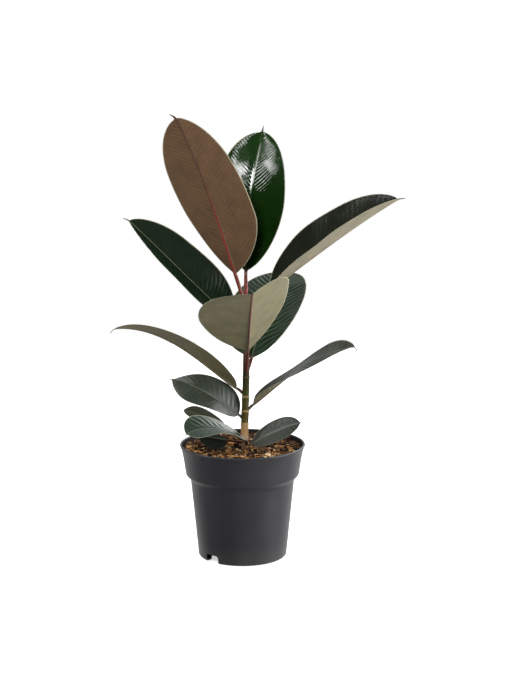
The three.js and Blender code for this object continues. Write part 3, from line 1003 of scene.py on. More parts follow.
def high_leaves() -> list[Leaf]:
    """Give the young leaves of the middle and the top.

    Returns:
        Leaves 7 to 13, from below upwards.
    """
    glossy = LeafFinish(upper=(0.006, 0.015, 0.006), upper_rough=0.2, relief=0.05)
    return [
        Leaf(
            "leaf_07", foot=(4.3, -0.4, 220), heading=186, petiole=Petiole(18, 52, 186, 2.1),
            length=195, width=66, widest=(0.42, 0.48), blunt=(1, 0.8), rise=(36, 32, -10),
            roll=(10, 10, 14), fold=(28, 19, 7), cup=5, curl=-45,
            finish=LeafFinish(
                lower=(0.17, 0.15, 0.075), lower_rib=(0.16, 0.10, 0.055), petiole=(0.06, 0.022, 0.014),
                relief=0.1, ior=1.42,
            ),
        ),
        Leaf(
            "leaf_08", foot=(5, 0, 247), heading=272, petiole=Petiole(53, 75, 277, 2.4),
            length=233, width=130, widest=(0.52, 0.52), blunt=(1, 0.3), rise=(32, 28, 23),
            roll=steady(19), fold=steady(20), cup=3, curl=-20,
            finish=replace(
                glossy, lower=(0.20, 0.18, 0.095), lower_vein=(0.32, 0.30, 0.18), vein_show=0.45,
                lower_rib=(0.10, 0.012, 0.010), lower_rib_tip=(0.16, 0.035, 0.028), ior=1.42,
            ),
        ),
        Leaf(
            "leaf_09", foot=(5, 0, 249), heading=70.5, petiole=Petiole(28, 52, 61, 2.3),
            length=178, width=106, widest=(0.36, 0.52), blunt=(1, 0.6), skew=0.02, rise=(47, 36, 18),
            roll=steady(0), fold=steady(10), cup=5, curl=-20, ripple=0.36,
            finish=LeafFinish(upper=(0.006, 0.024, 0.005), upper_rough=0.24, vein_gap=9.0, ior=1.32),
        ),
        Leaf(
            "leaf_10", foot=(5, 0.3, 305), heading=187, petiole=Petiole(25, 53, 187, 2.4),
            length=202, width=88, widest=(0.36, 0.38), blunt=(0.4, 0.7), skew=-0.15, rise=(43, 45.2, 43.5),
            roll=(-47, -46, -44), fold=steady(31), cup=6, curl=-24, ripple=0.05,
            finish=replace(glossy, upper_rough=0.15),
        ),
        Leaf(
            "leaf_11", foot=(4.4, 0.2, 338), heading=354, petiole=Petiole(44, 47, 354, 2.4),
            length=216, width=82, widest=(0.42, 0.5), blunt=(0.4, 0.4), rise=(36.8, 36.2, 30.5),
            roll=steady(23), fold=steady(40), cup=5, curl=-26, ripple=0.02,
            finish=LeafFinish(
                upper=(0.010, 0.014, 0.006), upper_rough=0.12, relief=0.015, ior=1.48,
                # pale underside, veins and midrib: partly the leaf's own pale tone, partly painted light
                # from the right-hand key
                lower=(0.235, 0.21, 0.135), lower_vein=(0.31, 0.28, 0.20), lower_rib=(0.30, 0.22, 0.15),
                lower_rib_tip=(0.32, 0.27, 0.19),
            ),
        ),
        Leaf(
            "leaf_12", foot=(3.6, -0.6, 347), heading=205, petiole=Petiole(43, 70, 200, 2.5),
            length=233, width=102, widest=(0.3, 0.56), blunt=(0.2, 0), rise=(72, 68, 60), sweep=4,
            roll=steady(42), fold=steady(8), cup=3, curl=-40, ripple=0.06,
            finish=LeafFinish(
                lower=(0.115, 0.062, 0.028), lower_vein=(0.21, 0.135, 0.07), vein_show=0.5, vein_gap=6.0,
                lower_rib=(0.25, 0.012, 0.008), lower_rib_tip=(0.06, 0.020, 0.012), rib_reach=1.8,
                petiole=(0.16, 0.055, 0.025), ior=1.4,
            ),
        ),
        Leaf(
            "leaf_13", foot=(3.8, 1.5, 350), heading=71, petiole=Petiole(40, 84, 80, 2.2),
            length=199, width=98, widest=(0.55, 0.47), blunt=(0.2, 0.2), skew=0.07, rise=(84, 75, 60),
            sweep=-12, roll=(12, 8, 8), fold=steady(4), cup=20, curl=14, wave=0.25, ripple=0.19, dent=0.3,
            finish=LeafFinish(
                upper=(0.005, 0.030, 0.001), upper_vein=(0.012, 0.05, 0.004), upper_rib=(0.03, 0.07, 0.02),
                upper_rough=0.08, relief=0.12, petiole=(0.24, 0.055, 0.03), vein_gap=5.0, slant=0.7,
            ),
        ),
    ]


# ------------------------------------------------------------------------------ stem and bud


@dataclass(frozen=True)
class StemFinish:
    """Young bark: tan at the soil, green above it, and red-brown towards the top."""

    bottom: float = 0.145  # height of the first colour, in metres
    top: float = 0.36  # and of the last
    rings: tuple[float, ...] = (0.154, 0.182, 0.200, 0.220, 0.247, 0.305, 0.338)
    ring_edge: Pair = (0.0007, 0.0018)  # metres from a ring's middle over which it fades
    ring_colour: Colour = (0.42, 0.29, 0.14)
    ring_fade: Pair = (0.205, 0.26)  # heights over which the rings lose their contrast
    pore_size: Pair = (0.10, 0.22)
    pore_colour: Colour = (0.38, 0.24, 0.13)
    wander: float = 0.008  # how unevenly the colours meet
    ring_wander: float = 0.0016
    colours: Stops = (
        (0.0, (0.58, 0.36, 0.20)),
        (0.08, (0.70, 0.50, 0.32)),
        (0.125, (0.47, 0.28, 0.13)),
        (0.168, (0.42, 0.27, 0.12)),
        (0.188, (0.085, 0.066, 0.018)),
        (0.24, (0.065, 0.052, 0.012)),
        (0.3, (0.055, 0.045, 0.010)),
        (0.36, (0.045, 0.050, 0.012)),
        (0.46, (0.040, 0.045, 0.012)),
        (0.52, (0.055, 0.035, 0.02)),
        (0.6, (0.06, 0.032, 0.02)),
        (0.8, (0.065, 0.02, 0.014)),
        (1.0, (0.09, 0.025, 0.018)),
    )

    def ring_mask(self, height: Value, wobble: Value) -> Value:
        """Find the rings that leaves left on the stem.

        Args:
            height: Height above the floor.
            wobble: Noise that makes the rings uneven.

        Returns:
            1 on a ring, else 0.
        """
        mask: Value | None = None
        for level in self.rings:
            gap = abs(height - level + (wobble - 0.5) * self.ring_wander)
            ring = 1.0 - gap.smooth(*self.ring_edge)
            mask = ring if mask is None else mask + ring
        return mask

    def build(self) -> bpy.types.Material:
        """Build the material.

        Returns:
            The material.
        """
        material, tree = new_material("stem_finish")
        height = tree.height()
        wobble = tree.noise(tree.place(), 120.0, 2.0)
        climb = (height + (wobble - 0.5) * self.wander - self.bottom) / (self.top - self.bottom)
        ring = self.ring_mask(height, wobble)
        low = 1.0 - height.smooth(*self.ring_fade)
        streaks = tree.noise(tree.place((1.0, 1.0, 0.12)), 900.0, 3.0, 0.6)
        pores = 1.0 - tree.cells(tree.place((1.0, 1.0, 0.6)), 420.0).smooth(*self.pore_size)
        colour = tree.mix(ring * (low * 0.5 + 0.12), tree.ramp(climb, self.colours), self.ring_colour)
        colour = tree.shade(colour, streaks * 0.9 + 0.55)
        colour = tree.mix(pores * 0.25, colour, self.pore_colour)
        relief = streaks * 0.5 + pores * 0.5 + ring * 0.5
        tree.surface(colour, streaks * 0.2 + 0.32, tree.bump(relief, 0.0005, 0.6), IOR=1.2)
        return material


@dataclass
class Stem:
    """The single stem, swollen at the rings where leaves sit or sat. Lengths in mm."""

    finish: StemFinish = field(default_factory=StemFinish)
    line: tuple[tuple[float, float, float, float], ...] = (  # height, x, y, radius
        (104, 2.6, 0.6, 4.2),
        (140, 2.9, 0.2, 4.7),
        (173, 2.9, 0.0, 5.2),
        (201, 3.7, -0.4, 5.0),
        (220, 4.3, -0.4, 4.7),
        (247, 5.0, 0.0, 4.5),
        (290, 5.2, 0.3, 4.1),
        (340, 4.4, 0.2, 3.7),
        (357, 4.1, 0.0, 3.3),
    )
    ring_swell: float = 0.55
    ring_reach: float = 1.1
    scar_swell: float = 0.25  # the old leaf's seat, just under its ring
    scar_drop: float = 4.0
    scar_reach: float = 3.5
    lump: float = 0.22
    lump_turn: float = 1.4
    lump_height: float = 9.0
    step: float = 0.5
    around: int = 48

    def point(self, column: int, row: int) -> Vector:
        """Work out one point of the bark.

        Args:
            column: Its place round the stem.
            row: Its place up the stem.

        Returns:
            The point in metres.
        """
        z = self.line[0][0] + row * self.step
        height = min(z, self.line[-1][0])
        low, high = between(self.line, height)
        share = (height - low[0]) / (high[0] - low[0])
        x, y, radius = (lerp(low[k], high[k], share) for k in (1, 2, 3))
        turn = FULL_TURN * column / self.around
        for level in self.finish.rings:
            gap = z - level / MM
            ring = self.ring_swell * math.exp(-((gap / self.ring_reach) ** 2))
            scar = self.scar_swell * math.exp(-(((gap + self.scar_drop) / self.scar_reach) ** 2))
            radius += ring + scar
        cosine, sine = math.cos(turn), math.sin(turn)
        lump_at = Vector((cosine * self.lump_turn, sine * self.lump_turn, z / self.lump_height))
        radius += self.lump * noise.noise(lump_at)
        return Vector((x + radius * cosine, y + radius * sine, z)) * MM

    def build(self) -> bpy.types.Object:
        """Build and dress the stem.

        Returns:
            The piece.
        """
        rows = round((self.line[-1][0] - self.line[0][0]) / self.step)
        piece = to_object(wrapped_grid(self.around, rows, self.point), "stem_bark")
        return settle(piece, Slot.STEM, self.finish.build(), "stem")


@dataclass(frozen=True)
class BudFinish:
    """Smooth sheath, pink-red with paler streaks."""

    foot: Colour = (0.30, 0.06, 0.05)
    tip: Colour = (0.16, 0.03, 0.03)
    span: Pair = (0.357, 0.387)  # heights of foot and tip, in metres

    def build(self) -> bpy.types.Material:
        """Build the material.

        Returns:
            The material.
        """
        material, tree = new_material("bud_finish")
        streaks = tree.noise(tree.place((1.0, 1.0, 0.08)), 1400.0, 2.0)
        colour = tree.mix(tree.height().smooth(*self.span), self.foot, self.tip)
        colour = tree.shade(colour, streaks * 0.8 + 0.6)
        tree.surface(colour, 0.3, tree.bump(streaks, 0.0002, 0.5))
        return material


@dataclass
class Bud:
    """The sheath that holds the next leaf, rolled to a slim point. Lengths in mm."""

    finish: BudFinish = field(default_factory=BudFinish)
    foot: Point = (5.4, -2.0, 357.2)
    heading: float = 300.0
    rise: float = 86.0
    length: float = 30.0
    radius: float = 2.0
    winding: float = 0.8  # turns that the rolled edge makes
    overlap: float = 0.12  # how far it stands out
    around: int = 32
    rows: int = 90
    profile: tuple[Pair, ...] = (  # share of the length, share of the radius
        (0, 0.55), (0.05, 0.8), (0.15, 1), (0.35, 0.95), (0.6, 0.68), (0.82, 0.36), (0.96, 0.12), (1, 0.03),
    )

    def point(self, column: int, row: int) -> Vector:
        """Work out one point of the sheath.

        Args:
            column: Its place round the sheath.
            row: Its place up the sheath.

        Returns:
            The point in metres.
        """
        share = row / self.rows
        low, high = between(self.profile, share)
        width = lerp(low[1], high[1], smoothstep(share, low[0], high[0]))
        turn = FULL_TURN * column / self.around
        roll = (turn / FULL_TURN + share * self.winding) % 1.0
        radius = self.radius * width * (1 + self.overlap * (roll - 0.5))
        centre = Vector(self.foot) + direction(self.rise, self.heading) * (self.length * share)
        return (centre + Vector((math.cos(turn), math.sin(turn), 0)) * radius) * MM

    def build(self) -> bpy.types.Object:
        """Build, dress and return the bud."""
        piece = to_object(wrapped_grid(self.around, self.rows, self.point), "bud_sheath")
        return settle(piece, Slot.BUD, self.finish.build(), "apical_bud")


# ------------------------------------------------------------------------------ pot


@dataclass(frozen=True)
class PotFinish:
    """Anthracite moulded plastic, satin, with faint turning marks, scuffs and dust at the foot."""

    body: Colour = (0.026, 0.025, 0.029)
    dust: Colour = (0.13, 0.12, 0.11)
    dust_height: float = 0.03
    rough: float = 0.42
    ior: float = 1.42
    mark_depth: float = 0.00012

    def build(self) -> bpy.types.Material:
        """Build the material.

        Returns:
            The material.
        """
        material, tree = new_material("pot_finish")
        turning = tree.noise(tree.place((0.05, 0.05, 1.0)), 700.0, 3.0, 0.6)
        grain = tree.noise(tree.place(), 2600.0, 2.0)
        cloud = tree.noise(tree.place((1.0, 1.0, 0.5)), 28.0, 4.0, 0.6)
        scuff = tree.noise(tree.place((0.4, 0.4, 1.0)), 260.0, 4.0, 0.7).smooth(0.6, 0.76)
        low = 1.0 - tree.height().smooth(0.0, self.dust_height)
        colour = tree.shade(self.body, cloud * 0.5 + turning * 0.16 + 0.68)
        colour = tree.mix(scuff * 0.12 + low * cloud * 0.3, colour, self.dust)
        rough = cloud * 0.2 + scuff * 0.1 + (self.rough - 0.1)
        normal = tree.bump(turning * 0.5 + grain * 0.25, self.mark_depth, 0.7)
        tree.surface(colour, rough, normal, IOR=self.ior)
        return material


@dataclass
class Pot:
    """The round pot: rolled lip, flared collar, tapered body and a foot with notches. Lengths in mm."""

    finish: PotFinish = field(default_factory=PotFinish)
    height: float = 155.0
    rim: float = 85.0
    lip: Pair = (1.5, 1.6)  # half the lip's width and height
    collar: float = 113.5
    body_top: Pair = (70.3, 104.0)
    foot: float = 60.3
    foot_corner: Pair = (2.5, 3.0)
    wall: float = 1.5
    channel: Pair = (34.0, 48.0)  # radii of the water channel under the floor
    channel_height: float = 9.0
    notch: Pair = (22.0, 11.0)  # width and height
    notch_corner: float = 3.5
    notch_cut: float = 16.0  # length of the block that cuts it
    notch_sunk: float = 2.0  # how far the block reaches below the floor
    notch_shift: float = 7.6  # from the channel's outer wall to the block's middle
    notch_headings: tuple[float, ...] = (227.0, 47.0)
    holes: int = 6
    hole_radius: float = 3.5
    hole_cut: float = 8.0  # length of the pin that cuts a hole
    steps: int = 160
    sharp: float = 40.0  # edges bent further than this stay sharp, in degrees

    def underside(self) -> list[Pair]:
        """Give the floor's underside: pad, water channel and foot ring.

        Returns:
            The points, radius and height, from the axis outwards.
        """
        inner, outer = self.channel
        high = self.channel_height
        return [
            (0, 0), (inner - 4, 0), (inner - 0.5, high - 0.4), (inner + 0.3, high),
            (outer - 0.3, high), (outer + 0.4, high - 0.4), (outer + 3, 0), (self.foot - 3, 0),
        ]

    def outside(self) -> list[Pair]:
        """Give the outside: rounded foot, tapered body, collar and lip.

        Returns:
            The points, radius and height, from the foot to the top of the lip.
        """
        top_radius, top = self.body_top
        wide, high = self.foot_corner
        corner = [
            (self.foot - wide * (1 - math.sin(a)), high - high * math.cos(a))
            for a in (0.25, 0.6, 0.95, 1.25, 1.45)
        ]
        body = [
            (lerp(self.foot, top_radius, (z - high) / (top - high)), z) for z in (20, 37, 54, 71, 88)
        ]
        collar = [
            (top_radius, top), (70.8, 106.6), (71.6, 108.3), (75.9, 112.5), (76.6, self.collar),
            (76.95, self.collar + 0.5), (77.1, self.collar + 1.4), (78.6, 125), (80.4, 136.6), (81.5, 142),
            (82.2, 145.5), (83.1, 148.6), (83.9, 151.0), (84.35, 151.9),
        ]
        half_width, half_height = self.lip
        middle_radius, middle = self.rim - half_width, self.height - half_height
        lip = [
            (middle_radius + half_width * math.cos(a), middle + half_height * math.sin(a))
            for a in (-0.9, -0.5, 0.0, 0.5, 0.9, 1.3, 1.7, 2.1, 2.6)
        ]
        return [*corner, (self.foot, high), (self.foot + 0.06, high + 1), *body, *collar, *lip]

    def inside(self) -> list[Pair]:
        """Give the inside, one wall within the outside.

        Returns:
            The points, radius and height, from the lip to the axis.
        """
        inner, outer = self.channel
        wall = self.wall
        step = self.channel_height + wall
        top_radius, top = self.body_top
        return [
            (82.2, 152.6), (81.6, 148), (79.6, 140), (75.4, 114.8), (top_radius - 0.3, 108),
            (top_radius - wall, top), (self.foot - wall, self.foot_corner[1]), (self.foot - wall - 1, wall),
            (outer + 4.2, wall), (outer + 0.8, step), (inner - 0.8, step), (inner - 5.2, wall), (0, wall),
        ]

    def notch_block(self, bm: bmesh.types.BMesh, heading: float) -> None:
        """Add one round-topped block that cuts a notch through the foot ring.

        Args:
            bm: The mesh it goes into.
            heading: The way the notch faces.
        """
        width, high = self.notch
        sunk = self.notch_sunk
        block = bmesh.ops.create_cube(bm, size=1.0)["verts"]
        bmesh.ops.scale(bm, verts=block, vec=Vector((self.notch_cut, width, high + sunk)) * MM)
        middle = Vector((self.channel[1] + self.notch_shift, 0, high / 2 - sunk / 2))
        bmesh.ops.translate(bm, verts=block, vec=middle * MM)
        upper_edges = [
            edge for edge in {edge for vert in block for edge in vert.link_edges}
            if all(vert.co.z > 0.5 * high * MM for vert in edge.verts)
            and abs(edge.verts[0].co.x - edge.verts[1].co.x) > 0.01
        ]
        bevelled = bmesh.ops.bevel(
            bm, geom=upper_edges, offset=self.notch_corner * MM, segments=5, profile=0.5,
            affect="EDGES", material=-1,
        )
        corners = {vert for vert in bm.verts if vert in block or vert in bevelled["verts"]}
        turn = Matrix.Rotation(math.radians(heading), 4, "Z")
        bmesh.ops.transform(bm, matrix=turn, verts=[vert for vert in corners if vert.is_valid])

    def cutter(self) -> bpy.types.Object:
        """Make the notches and the drain holes as solids to cut with.

        Returns:
            The object.
        """
        bm = bmesh.new()
        for heading in self.notch_headings:
            self.notch_block(bm, heading)
        middle = sum(self.channel) / 2
        for k in range(self.holes):
            turn = Matrix.Rotation(math.radians(self.notch_headings[0] + 360 / self.holes * k), 4, "Z")
            shift = Matrix.Translation(Vector((middle, 0, self.channel_height)) * MM)
            bmesh.ops.create_cone(
                bm, cap_ends=True, segments=24, radius1=self.hole_radius * MM,
                radius2=self.hole_radius * MM, depth=self.hole_cut * MM, matrix=turn @ shift,
            )
        return to_object(bm, "pot_cutter", smooth=False)

    def build(self) -> bpy.types.Object:
        """Build and dress the pot.

        Returns:
            The piece.
        """
        profile = [*self.underside(), *self.outside(), *self.inside()]
        shell = to_object(turned(profile, self.steps), "pot_shell")
        cutter = self.cutter()
        cut = shell.modifiers.new("notches", "BOOLEAN")
        cut.operation = "DIFFERENCE"
        cut.solver = "EXACT"
        cut.object = cutter
        graph = bpy.context.evaluated_depsgraph_get()
        mesh = bpy.data.meshes.new_from_object(shell.evaluated_get(graph))
        bm = bmesh.new()
        bm.from_mesh(mesh)
        for spent in (cutter, shell):
            bpy.data.objects.remove(spent)
        bmesh.ops.remove_doubles(bm, verts=bm.verts, dist=WELD)
        for edge in bm.edges:
            edge.smooth = len(edge.link_faces) == 2 and edge.calc_face_angle(0.0) < math.radians(self.sharp)
        return settle(to_object(bm, "pot_body"), Slot.POT, self.finish.build(), "pot")


# ------------------------------------------------------------------------------ soil


@dataclass(frozen=True)
class SoilFinish:
    """Damp dark soil between the bark."""

    dark: Colour = (0.012, 0.007, 0.004)
    light: Colour = (0.075, 0.038, 0.016)
    crumb_depth: float = 0.0016

    def build(self) -> bpy.types.Material:
        """Build the material.

        Returns:
            The material.
        """
        material, tree = new_material("soil_finish")
        crumbs = tree.noise(tree.place(), 420.0, 4.0, 0.65)
        patches = tree.noise(tree.place(), 60.0, 2.0)
        colour = tree.mix(crumbs.smooth(0.42, 0.68) * patches.smooth(0.35, 0.6), self.dark, self.light)
        tree.surface(colour, 0.85, tree.bump(crumbs, self.crumb_depth, 0.9), IOR=1.25)
        return material


@dataclass(frozen=True)
class BarkFinish:
    """Split bark, from nearly black through orange-brown to pale tan, with a long grain.

    The mesh's attribute "tint" says where each piece of bark stands between the colours.
    """

    tints: Stops = (
        (0.0, (0.008, 0.004, 0.003)),
        (0.25, (0.020, 0.008, 0.004)),
        (0.42, (0.055, 0.020, 0.010)),
        (0.58, (0.13, 0.055, 0.015)),
        (0.76, (0.38, 0.18, 0.05)),
        (0.9, (0.60, 0.37, 0.16)),
        (1.0, (0.82, 0.60, 0.36)),
    )
    grain_depth: float = 0.0009

    def build(self) -> bpy.types.Material:
        """Build the material.

        Returns:
            The material.
        """
        material, tree = new_material("bark_finish")
        grain = tree.noise(tree.place((1.0, 0.35, 1.0)), 700.0, 4.0, 0.65)
        spots = tree.noise(tree.place(), 240.0, 2.0)
        tint = tree.attribute("tint") + (spots - 0.5) * 0.35
        colour = tree.shade(tree.ramp(tint, self.tints), grain * 1.3 + 0.35)
        tree.surface(colour, 0.78, tree.bump(grain, self.grain_depth, 0.9), IOR=1.25)
        return material


@dataclass
class SoilBed:
    """The soil that fills the pot, and the loose bark that covers it. Lengths in mm."""

    soil: SoilFinish = field(default_factory=SoilFinish)
    bark: BarkFinish = field(default_factory=BarkFinish)
    level: float = 149.0
    floor: float = 10.8
    wall: tuple[Pair, ...] = ((58.9, 10.8), (68.3, 103), (69.2, 107.5), (74.8, 115), (79.1, 140))
    radius: float = 80.7
    rings: int = 52
    steps: int = 160
    stem_x: float = 3.0
    stem_clear: float = 8.0  # no flake lies nearer to the stem's middle
    flakes: int = 900
    crumbs: int = 900
    fibres: int = 170
    seed: int = 7

    FLAKE_SIZE = ((6, 15), (2.0, 4.6), (0.9, 2.2))  # length, width, thickness
    CRUMB_SIZE = ((1.6, 4.0), (1.0, 2.4), (0.7, 1.4))
    FLAKE_LIFT = (-0.6, 1.3)  # where a flake's middle lies above the soil
    FLAKE_TILT = 0.45  # radians
    FLAKE_JITTER = (0.14, 0.12, 0.2)  # how far its corners move, in shares of its size
    FLAKE_TINT = (0.44, 0.31)  # middle and spread
    FIBRE_TINT = (0.5, 1.0)
    WALL_CLEAR = 3.0  # no flake's middle lies nearer to the edge of the soil
    FIBRE_CLEAR = 2.0  # and no fibre's middle line nearer than this
    CHIP_CORNER = 0.5
    CHIP_MESH = 1.2  # longer edges of a chip's mesh are split
    CHIP_TINT = (0.42, 0.4)  # least tint, and how much may be added
    GOLDEN = 0.618  # steps of this share spread the tints evenly

    def surface(self, x: float, y: float) -> float:
        """Work out the height of the uneven surface.

        Args:
            x: The place.
            y: The place.

        Returns:
            The height above the floor.
        """
        broad = 1.5 * math.sin(x / 13 + 0.6) * math.cos(y / 15 - 0.4)
        fine = 0.8 * math.sin(x / 5.2 + y / 6.1) + 0.6 * math.cos(x / 4.1 - y / 5.3)
        dip = 4 * math.exp(-((x - self.stem_x) ** 2 + y**2) / 400)
        return self.level + broad + fine - dip

    def build_bed(self) -> bpy.types.Object:
        """Build and dress the soil.

        Returns:
            The piece.
        """
        top = [(self.radius * (1 - k / self.rings), self.level) for k in range(self.rings)]
        bm = turned([(0, self.floor), *self.wall, *top, (0, self.level)], self.steps)
        for vert in bm.verts:
            if vert.co.z > (self.level - 0.01) * MM:
                x, y = vert.co.x / MM, vert.co.y / MM
                coarse = 0.8 * noise.noise(Vector((x / 4.5, y / 4.5, 0)))
                crumb = coarse + 0.4 * noise.noise(Vector((x, y, 3)) / 2)
                vert.co.z = (self.surface(x, y) - 0.6 + crumb) * MM
        return settle(to_object(bm, "soil_bed"), Slot.SOIL, self.soil.build(), "soil")

    def flake(self, rng: random.Random, size: Sequence[float], at: Vector) -> bmesh.types.BMesh:
        """Make one split piece of bark.

        Args:
            rng: The source of chance.
            size: Length, width and thickness.
            at: Where its middle lies.

        Returns:
            Its mesh.
        """
        bm = bmesh.new()
        bmesh.ops.create_cube(bm, size=1.0)
        along = [edge for edge in bm.edges if abs(edge.verts[0].co.x - edge.verts[1].co.x) > 0.5]
        bmesh.ops.subdivide_edges(bm, edges=along, cuts=2, use_grid_fill=True)
        for vert in bm.verts:
            taper = 1 - 0.5 * abs(vert.co.x) * rng.uniform(0.2, 1.3)
            jitter = Vector([rng.uniform(-most, most) for most in self.FLAKE_JITTER])
            vert.co = Vector((vert.co.x, vert.co.y * taper, vert.co.z * taper)) + jitter
        turn = (
            Matrix.Translation(at * MM)
            @ Matrix.Rotation(rng.uniform(0, FULL_TURN), 4, "Z")
            @ Matrix.Rotation(rng.gauss(0, self.FLAKE_TILT * 0.5), 4, "Y")
            @ Matrix.Rotation(rng.gauss(0, self.FLAKE_TILT), 4, "X")
            @ Matrix.Diagonal((*(Vector(size) * MM), 1))
        )
        bmesh.ops.transform(bm, matrix=turn, verts=bm.verts)
        return bm

    def fibre(self, rng: random.Random, x: float, y: float) -> bmesh.types.BMesh:
        """Make one thin strand that lies in a loose bow on the soil.

        Args:
            rng: The source of chance.
            x: Place of its middle.
            y: Place of its middle.

        Returns:
            Its mesh.
        """
        length, lean, bow = rng.uniform(8, 22), rng.uniform(0, FULL_TURN), rng.uniform(-0.25, 0.25)
        thick, lift = rng.uniform(0.18, 0.4), rng.uniform(0.8, 2.4)
        bm = bmesh.new()
        bmesh.ops.create_cone(bm, cap_ends=True, segments=5, radius1=1, radius2=1, depth=1)
        along = [edge for edge in bm.edges if abs(edge.verts[0].co.z - edge.verts[1].co.z) > 0.5]
        bmesh.ops.subdivide_edges(bm, edges=along, cuts=6)
        for vert in bm.verts:
            s = vert.co.z
            aside = bow * length * (s * s - 0.1) * 2
            px = x + math.cos(lean) * s * length - math.sin(lean) * aside
            py = y + math.sin(lean) * s * length + math.cos(lean) * aside
            inward = min(1.0, (self.radius - self.FIBRE_CLEAR) / math.hypot(px, py))
            px, py = px * inward, py * inward
            ground = self.surface(px, py) + 0.3 + lift * (1 - 3 * s * s)
            side = Vector((-math.sin(lean), math.cos(lean), 0)) * vert.co.x * thick
            vert.co = (Vector((px, py, ground)) + side + Vector((0, 0, vert.co.y * thick))) * MM
        return bm

    def spot(self, rng: random.Random) -> Pair:
        """Choose a place on the soil, clear of the stem and the wall.

        Args:
            rng: The source of chance.

        Returns:
            The place.
        """
        while True:
            far = (self.radius - self.WALL_CLEAR) * math.sqrt(rng.random())
            turn = rng.uniform(0, FULL_TURN)
            x, y = far * math.cos(turn), far * math.sin(turn)
            if math.hypot(x - self.stem_x, y) > self.stem_clear:
                return x, y

    def heap(self, rng: random.Random) -> Iterator[tuple[bmesh.types.BMesh, float]]:
        """Make the loose bark, one piece after another.

        Args:
            rng: The source of chance.

        Yields:
            Each flake, crumb and fibre with its tint from 0 to 1.
        """
        for k in range(self.flakes + self.crumbs):
            x, y = self.spot(rng)
            bounds = self.FLAKE_SIZE if k < self.flakes else self.CRUMB_SIZE
            size = [rng.uniform(*bound) for bound in bounds]
            at = Vector((x, y, self.surface(x, y) + rng.uniform(*self.FLAKE_LIFT)))
            yield self.flake(rng, size, at), min(1.0, max(0.0, rng.gauss(*self.FLAKE_TINT)))
        for _ in range(self.fibres):
            yield self.fibre(rng, *self.spot(rng)), rng.uniform(*self.FIBRE_TINT)

    def build_litter(self) -> bpy.types.Object:
        """Build and dress the loose bark, crumbs and fibres as one mesh.

        Returns:
            The piece.
        """
        bm = bmesh.new()
        bm.faces.layers.float.new("tint")
        carrier = bpy.data.meshes.new("carrier")
        for piece, shade in self.heap(random.Random(self.seed)):
            tint = piece.faces.layers.float.new("tint")
            for face in piece.faces:
                face[tint] = shade
            piece.to_mesh(carrier)
            piece.free()
            bm.from_mesh(carrier)
        bpy.data.meshes.remove(carrier)
        bmesh.ops.recalc_face_normals(bm, faces=bm.faces)
        return settle(to_object(bm, "bark_litter", smooth=False), Slot.BARK, self.bark.build())

    def build_chip(
        self, node: bpy.types.Object, index: int, material: bpy.types.Material
    ) -> bpy.types.Object:
        """Build one of the larger pieces of bark from its plain solid.

        Args:
            node: The frame's solid.
            index: Its number, which sets its roughness and tint.
            material: The bark.

        Returns:
            The piece.
        """
        bm = bmesh.new()
        bm.from_mesh(node.data)
        bmesh.ops.remove_doubles(bm, verts=bm.verts, dist=WELD)
        bmesh.ops.dissolve_limit(bm, angle_limit=0.02, verts=bm.verts, edges=bm.edges)
        bmesh.ops.bevel(
            bm, geom=bm.edges[:], offset=self.CHIP_CORNER * MM, segments=2, profile=0.5,
            affect="EDGES", material=-1,
        )
        bmesh.ops.triangulate(bm, faces=bm.faces)
        for _ in range(3):
            long_edges = [edge for edge in bm.edges if edge.calc_length() > self.CHIP_MESH * MM]
            bmesh.ops.subdivide_edges(bm, edges=long_edges, cuts=1)
            bmesh.ops.triangulate(bm, faces=bm.faces)
        bmesh.ops.recalc_face_normals(bm, faces=bm.faces)
        bm.normal_update()
        moves = {}
        for vert in bm.verts:
            here = vert.co / MM
            rough = 0.55 * noise.noise(Vector((here.x / 2.2, here.y / 2.2, here.z / 0.9 + index)))
            rough += 0.25 * noise.noise(here / 0.8)
            moves[vert] = vert.normal * rough * MM
        for vert, move in moves.items():
            vert.co += move
        tint = bm.faces.layers.float.new("tint")
        least, more = self.CHIP_TINT
        for face in bm.faces:
            face[tint] = least + more * ((index * self.GOLDEN) % 1)
        return settle(to_object(bm, f"{node.name}_rough", smooth=False), Slot.BARK, material, node.name)

    def build(self, nodes: dict[str, bpy.types.Object]) -> None:
        """Build the soil, its litter and the larger pieces of bark.

        Args:
            nodes: The frame's nodes by name.
        """
        self.build_bed()
        litter = self.build_litter()
        chips = sorted(name for name in nodes if name.startswith("bark_chip"))
        for index, name in enumerate(chips):
            self.build_chip(nodes[name], index, litter.data.materials[0])


# ------------------------------------------------------------------------------ studio


@dataclass(frozen=True)
class Softbox:
    """A rectangular soft light. Lengths in metres, power in watts."""

    name: str
    place: Point
    aim: Point
    size: Pair
    power: float

    def build(self) -> None:
        """Hang the light."""
        light = bpy.data.lights.new(self.name, "AREA")
        light.shape = "RECTANGLE"
        light.size, light.size_y = self.size
        light.energy = self.power
        lamp = bpy.data.objects.new(self.name, light)
        lamp.location = self.place
        lamp.rotation_euler = (Vector(self.aim) - Vector(self.place)).to_track_quat("-Z", "Y").to_euler()
        bpy.context.scene.collection.objects.link(lamp)


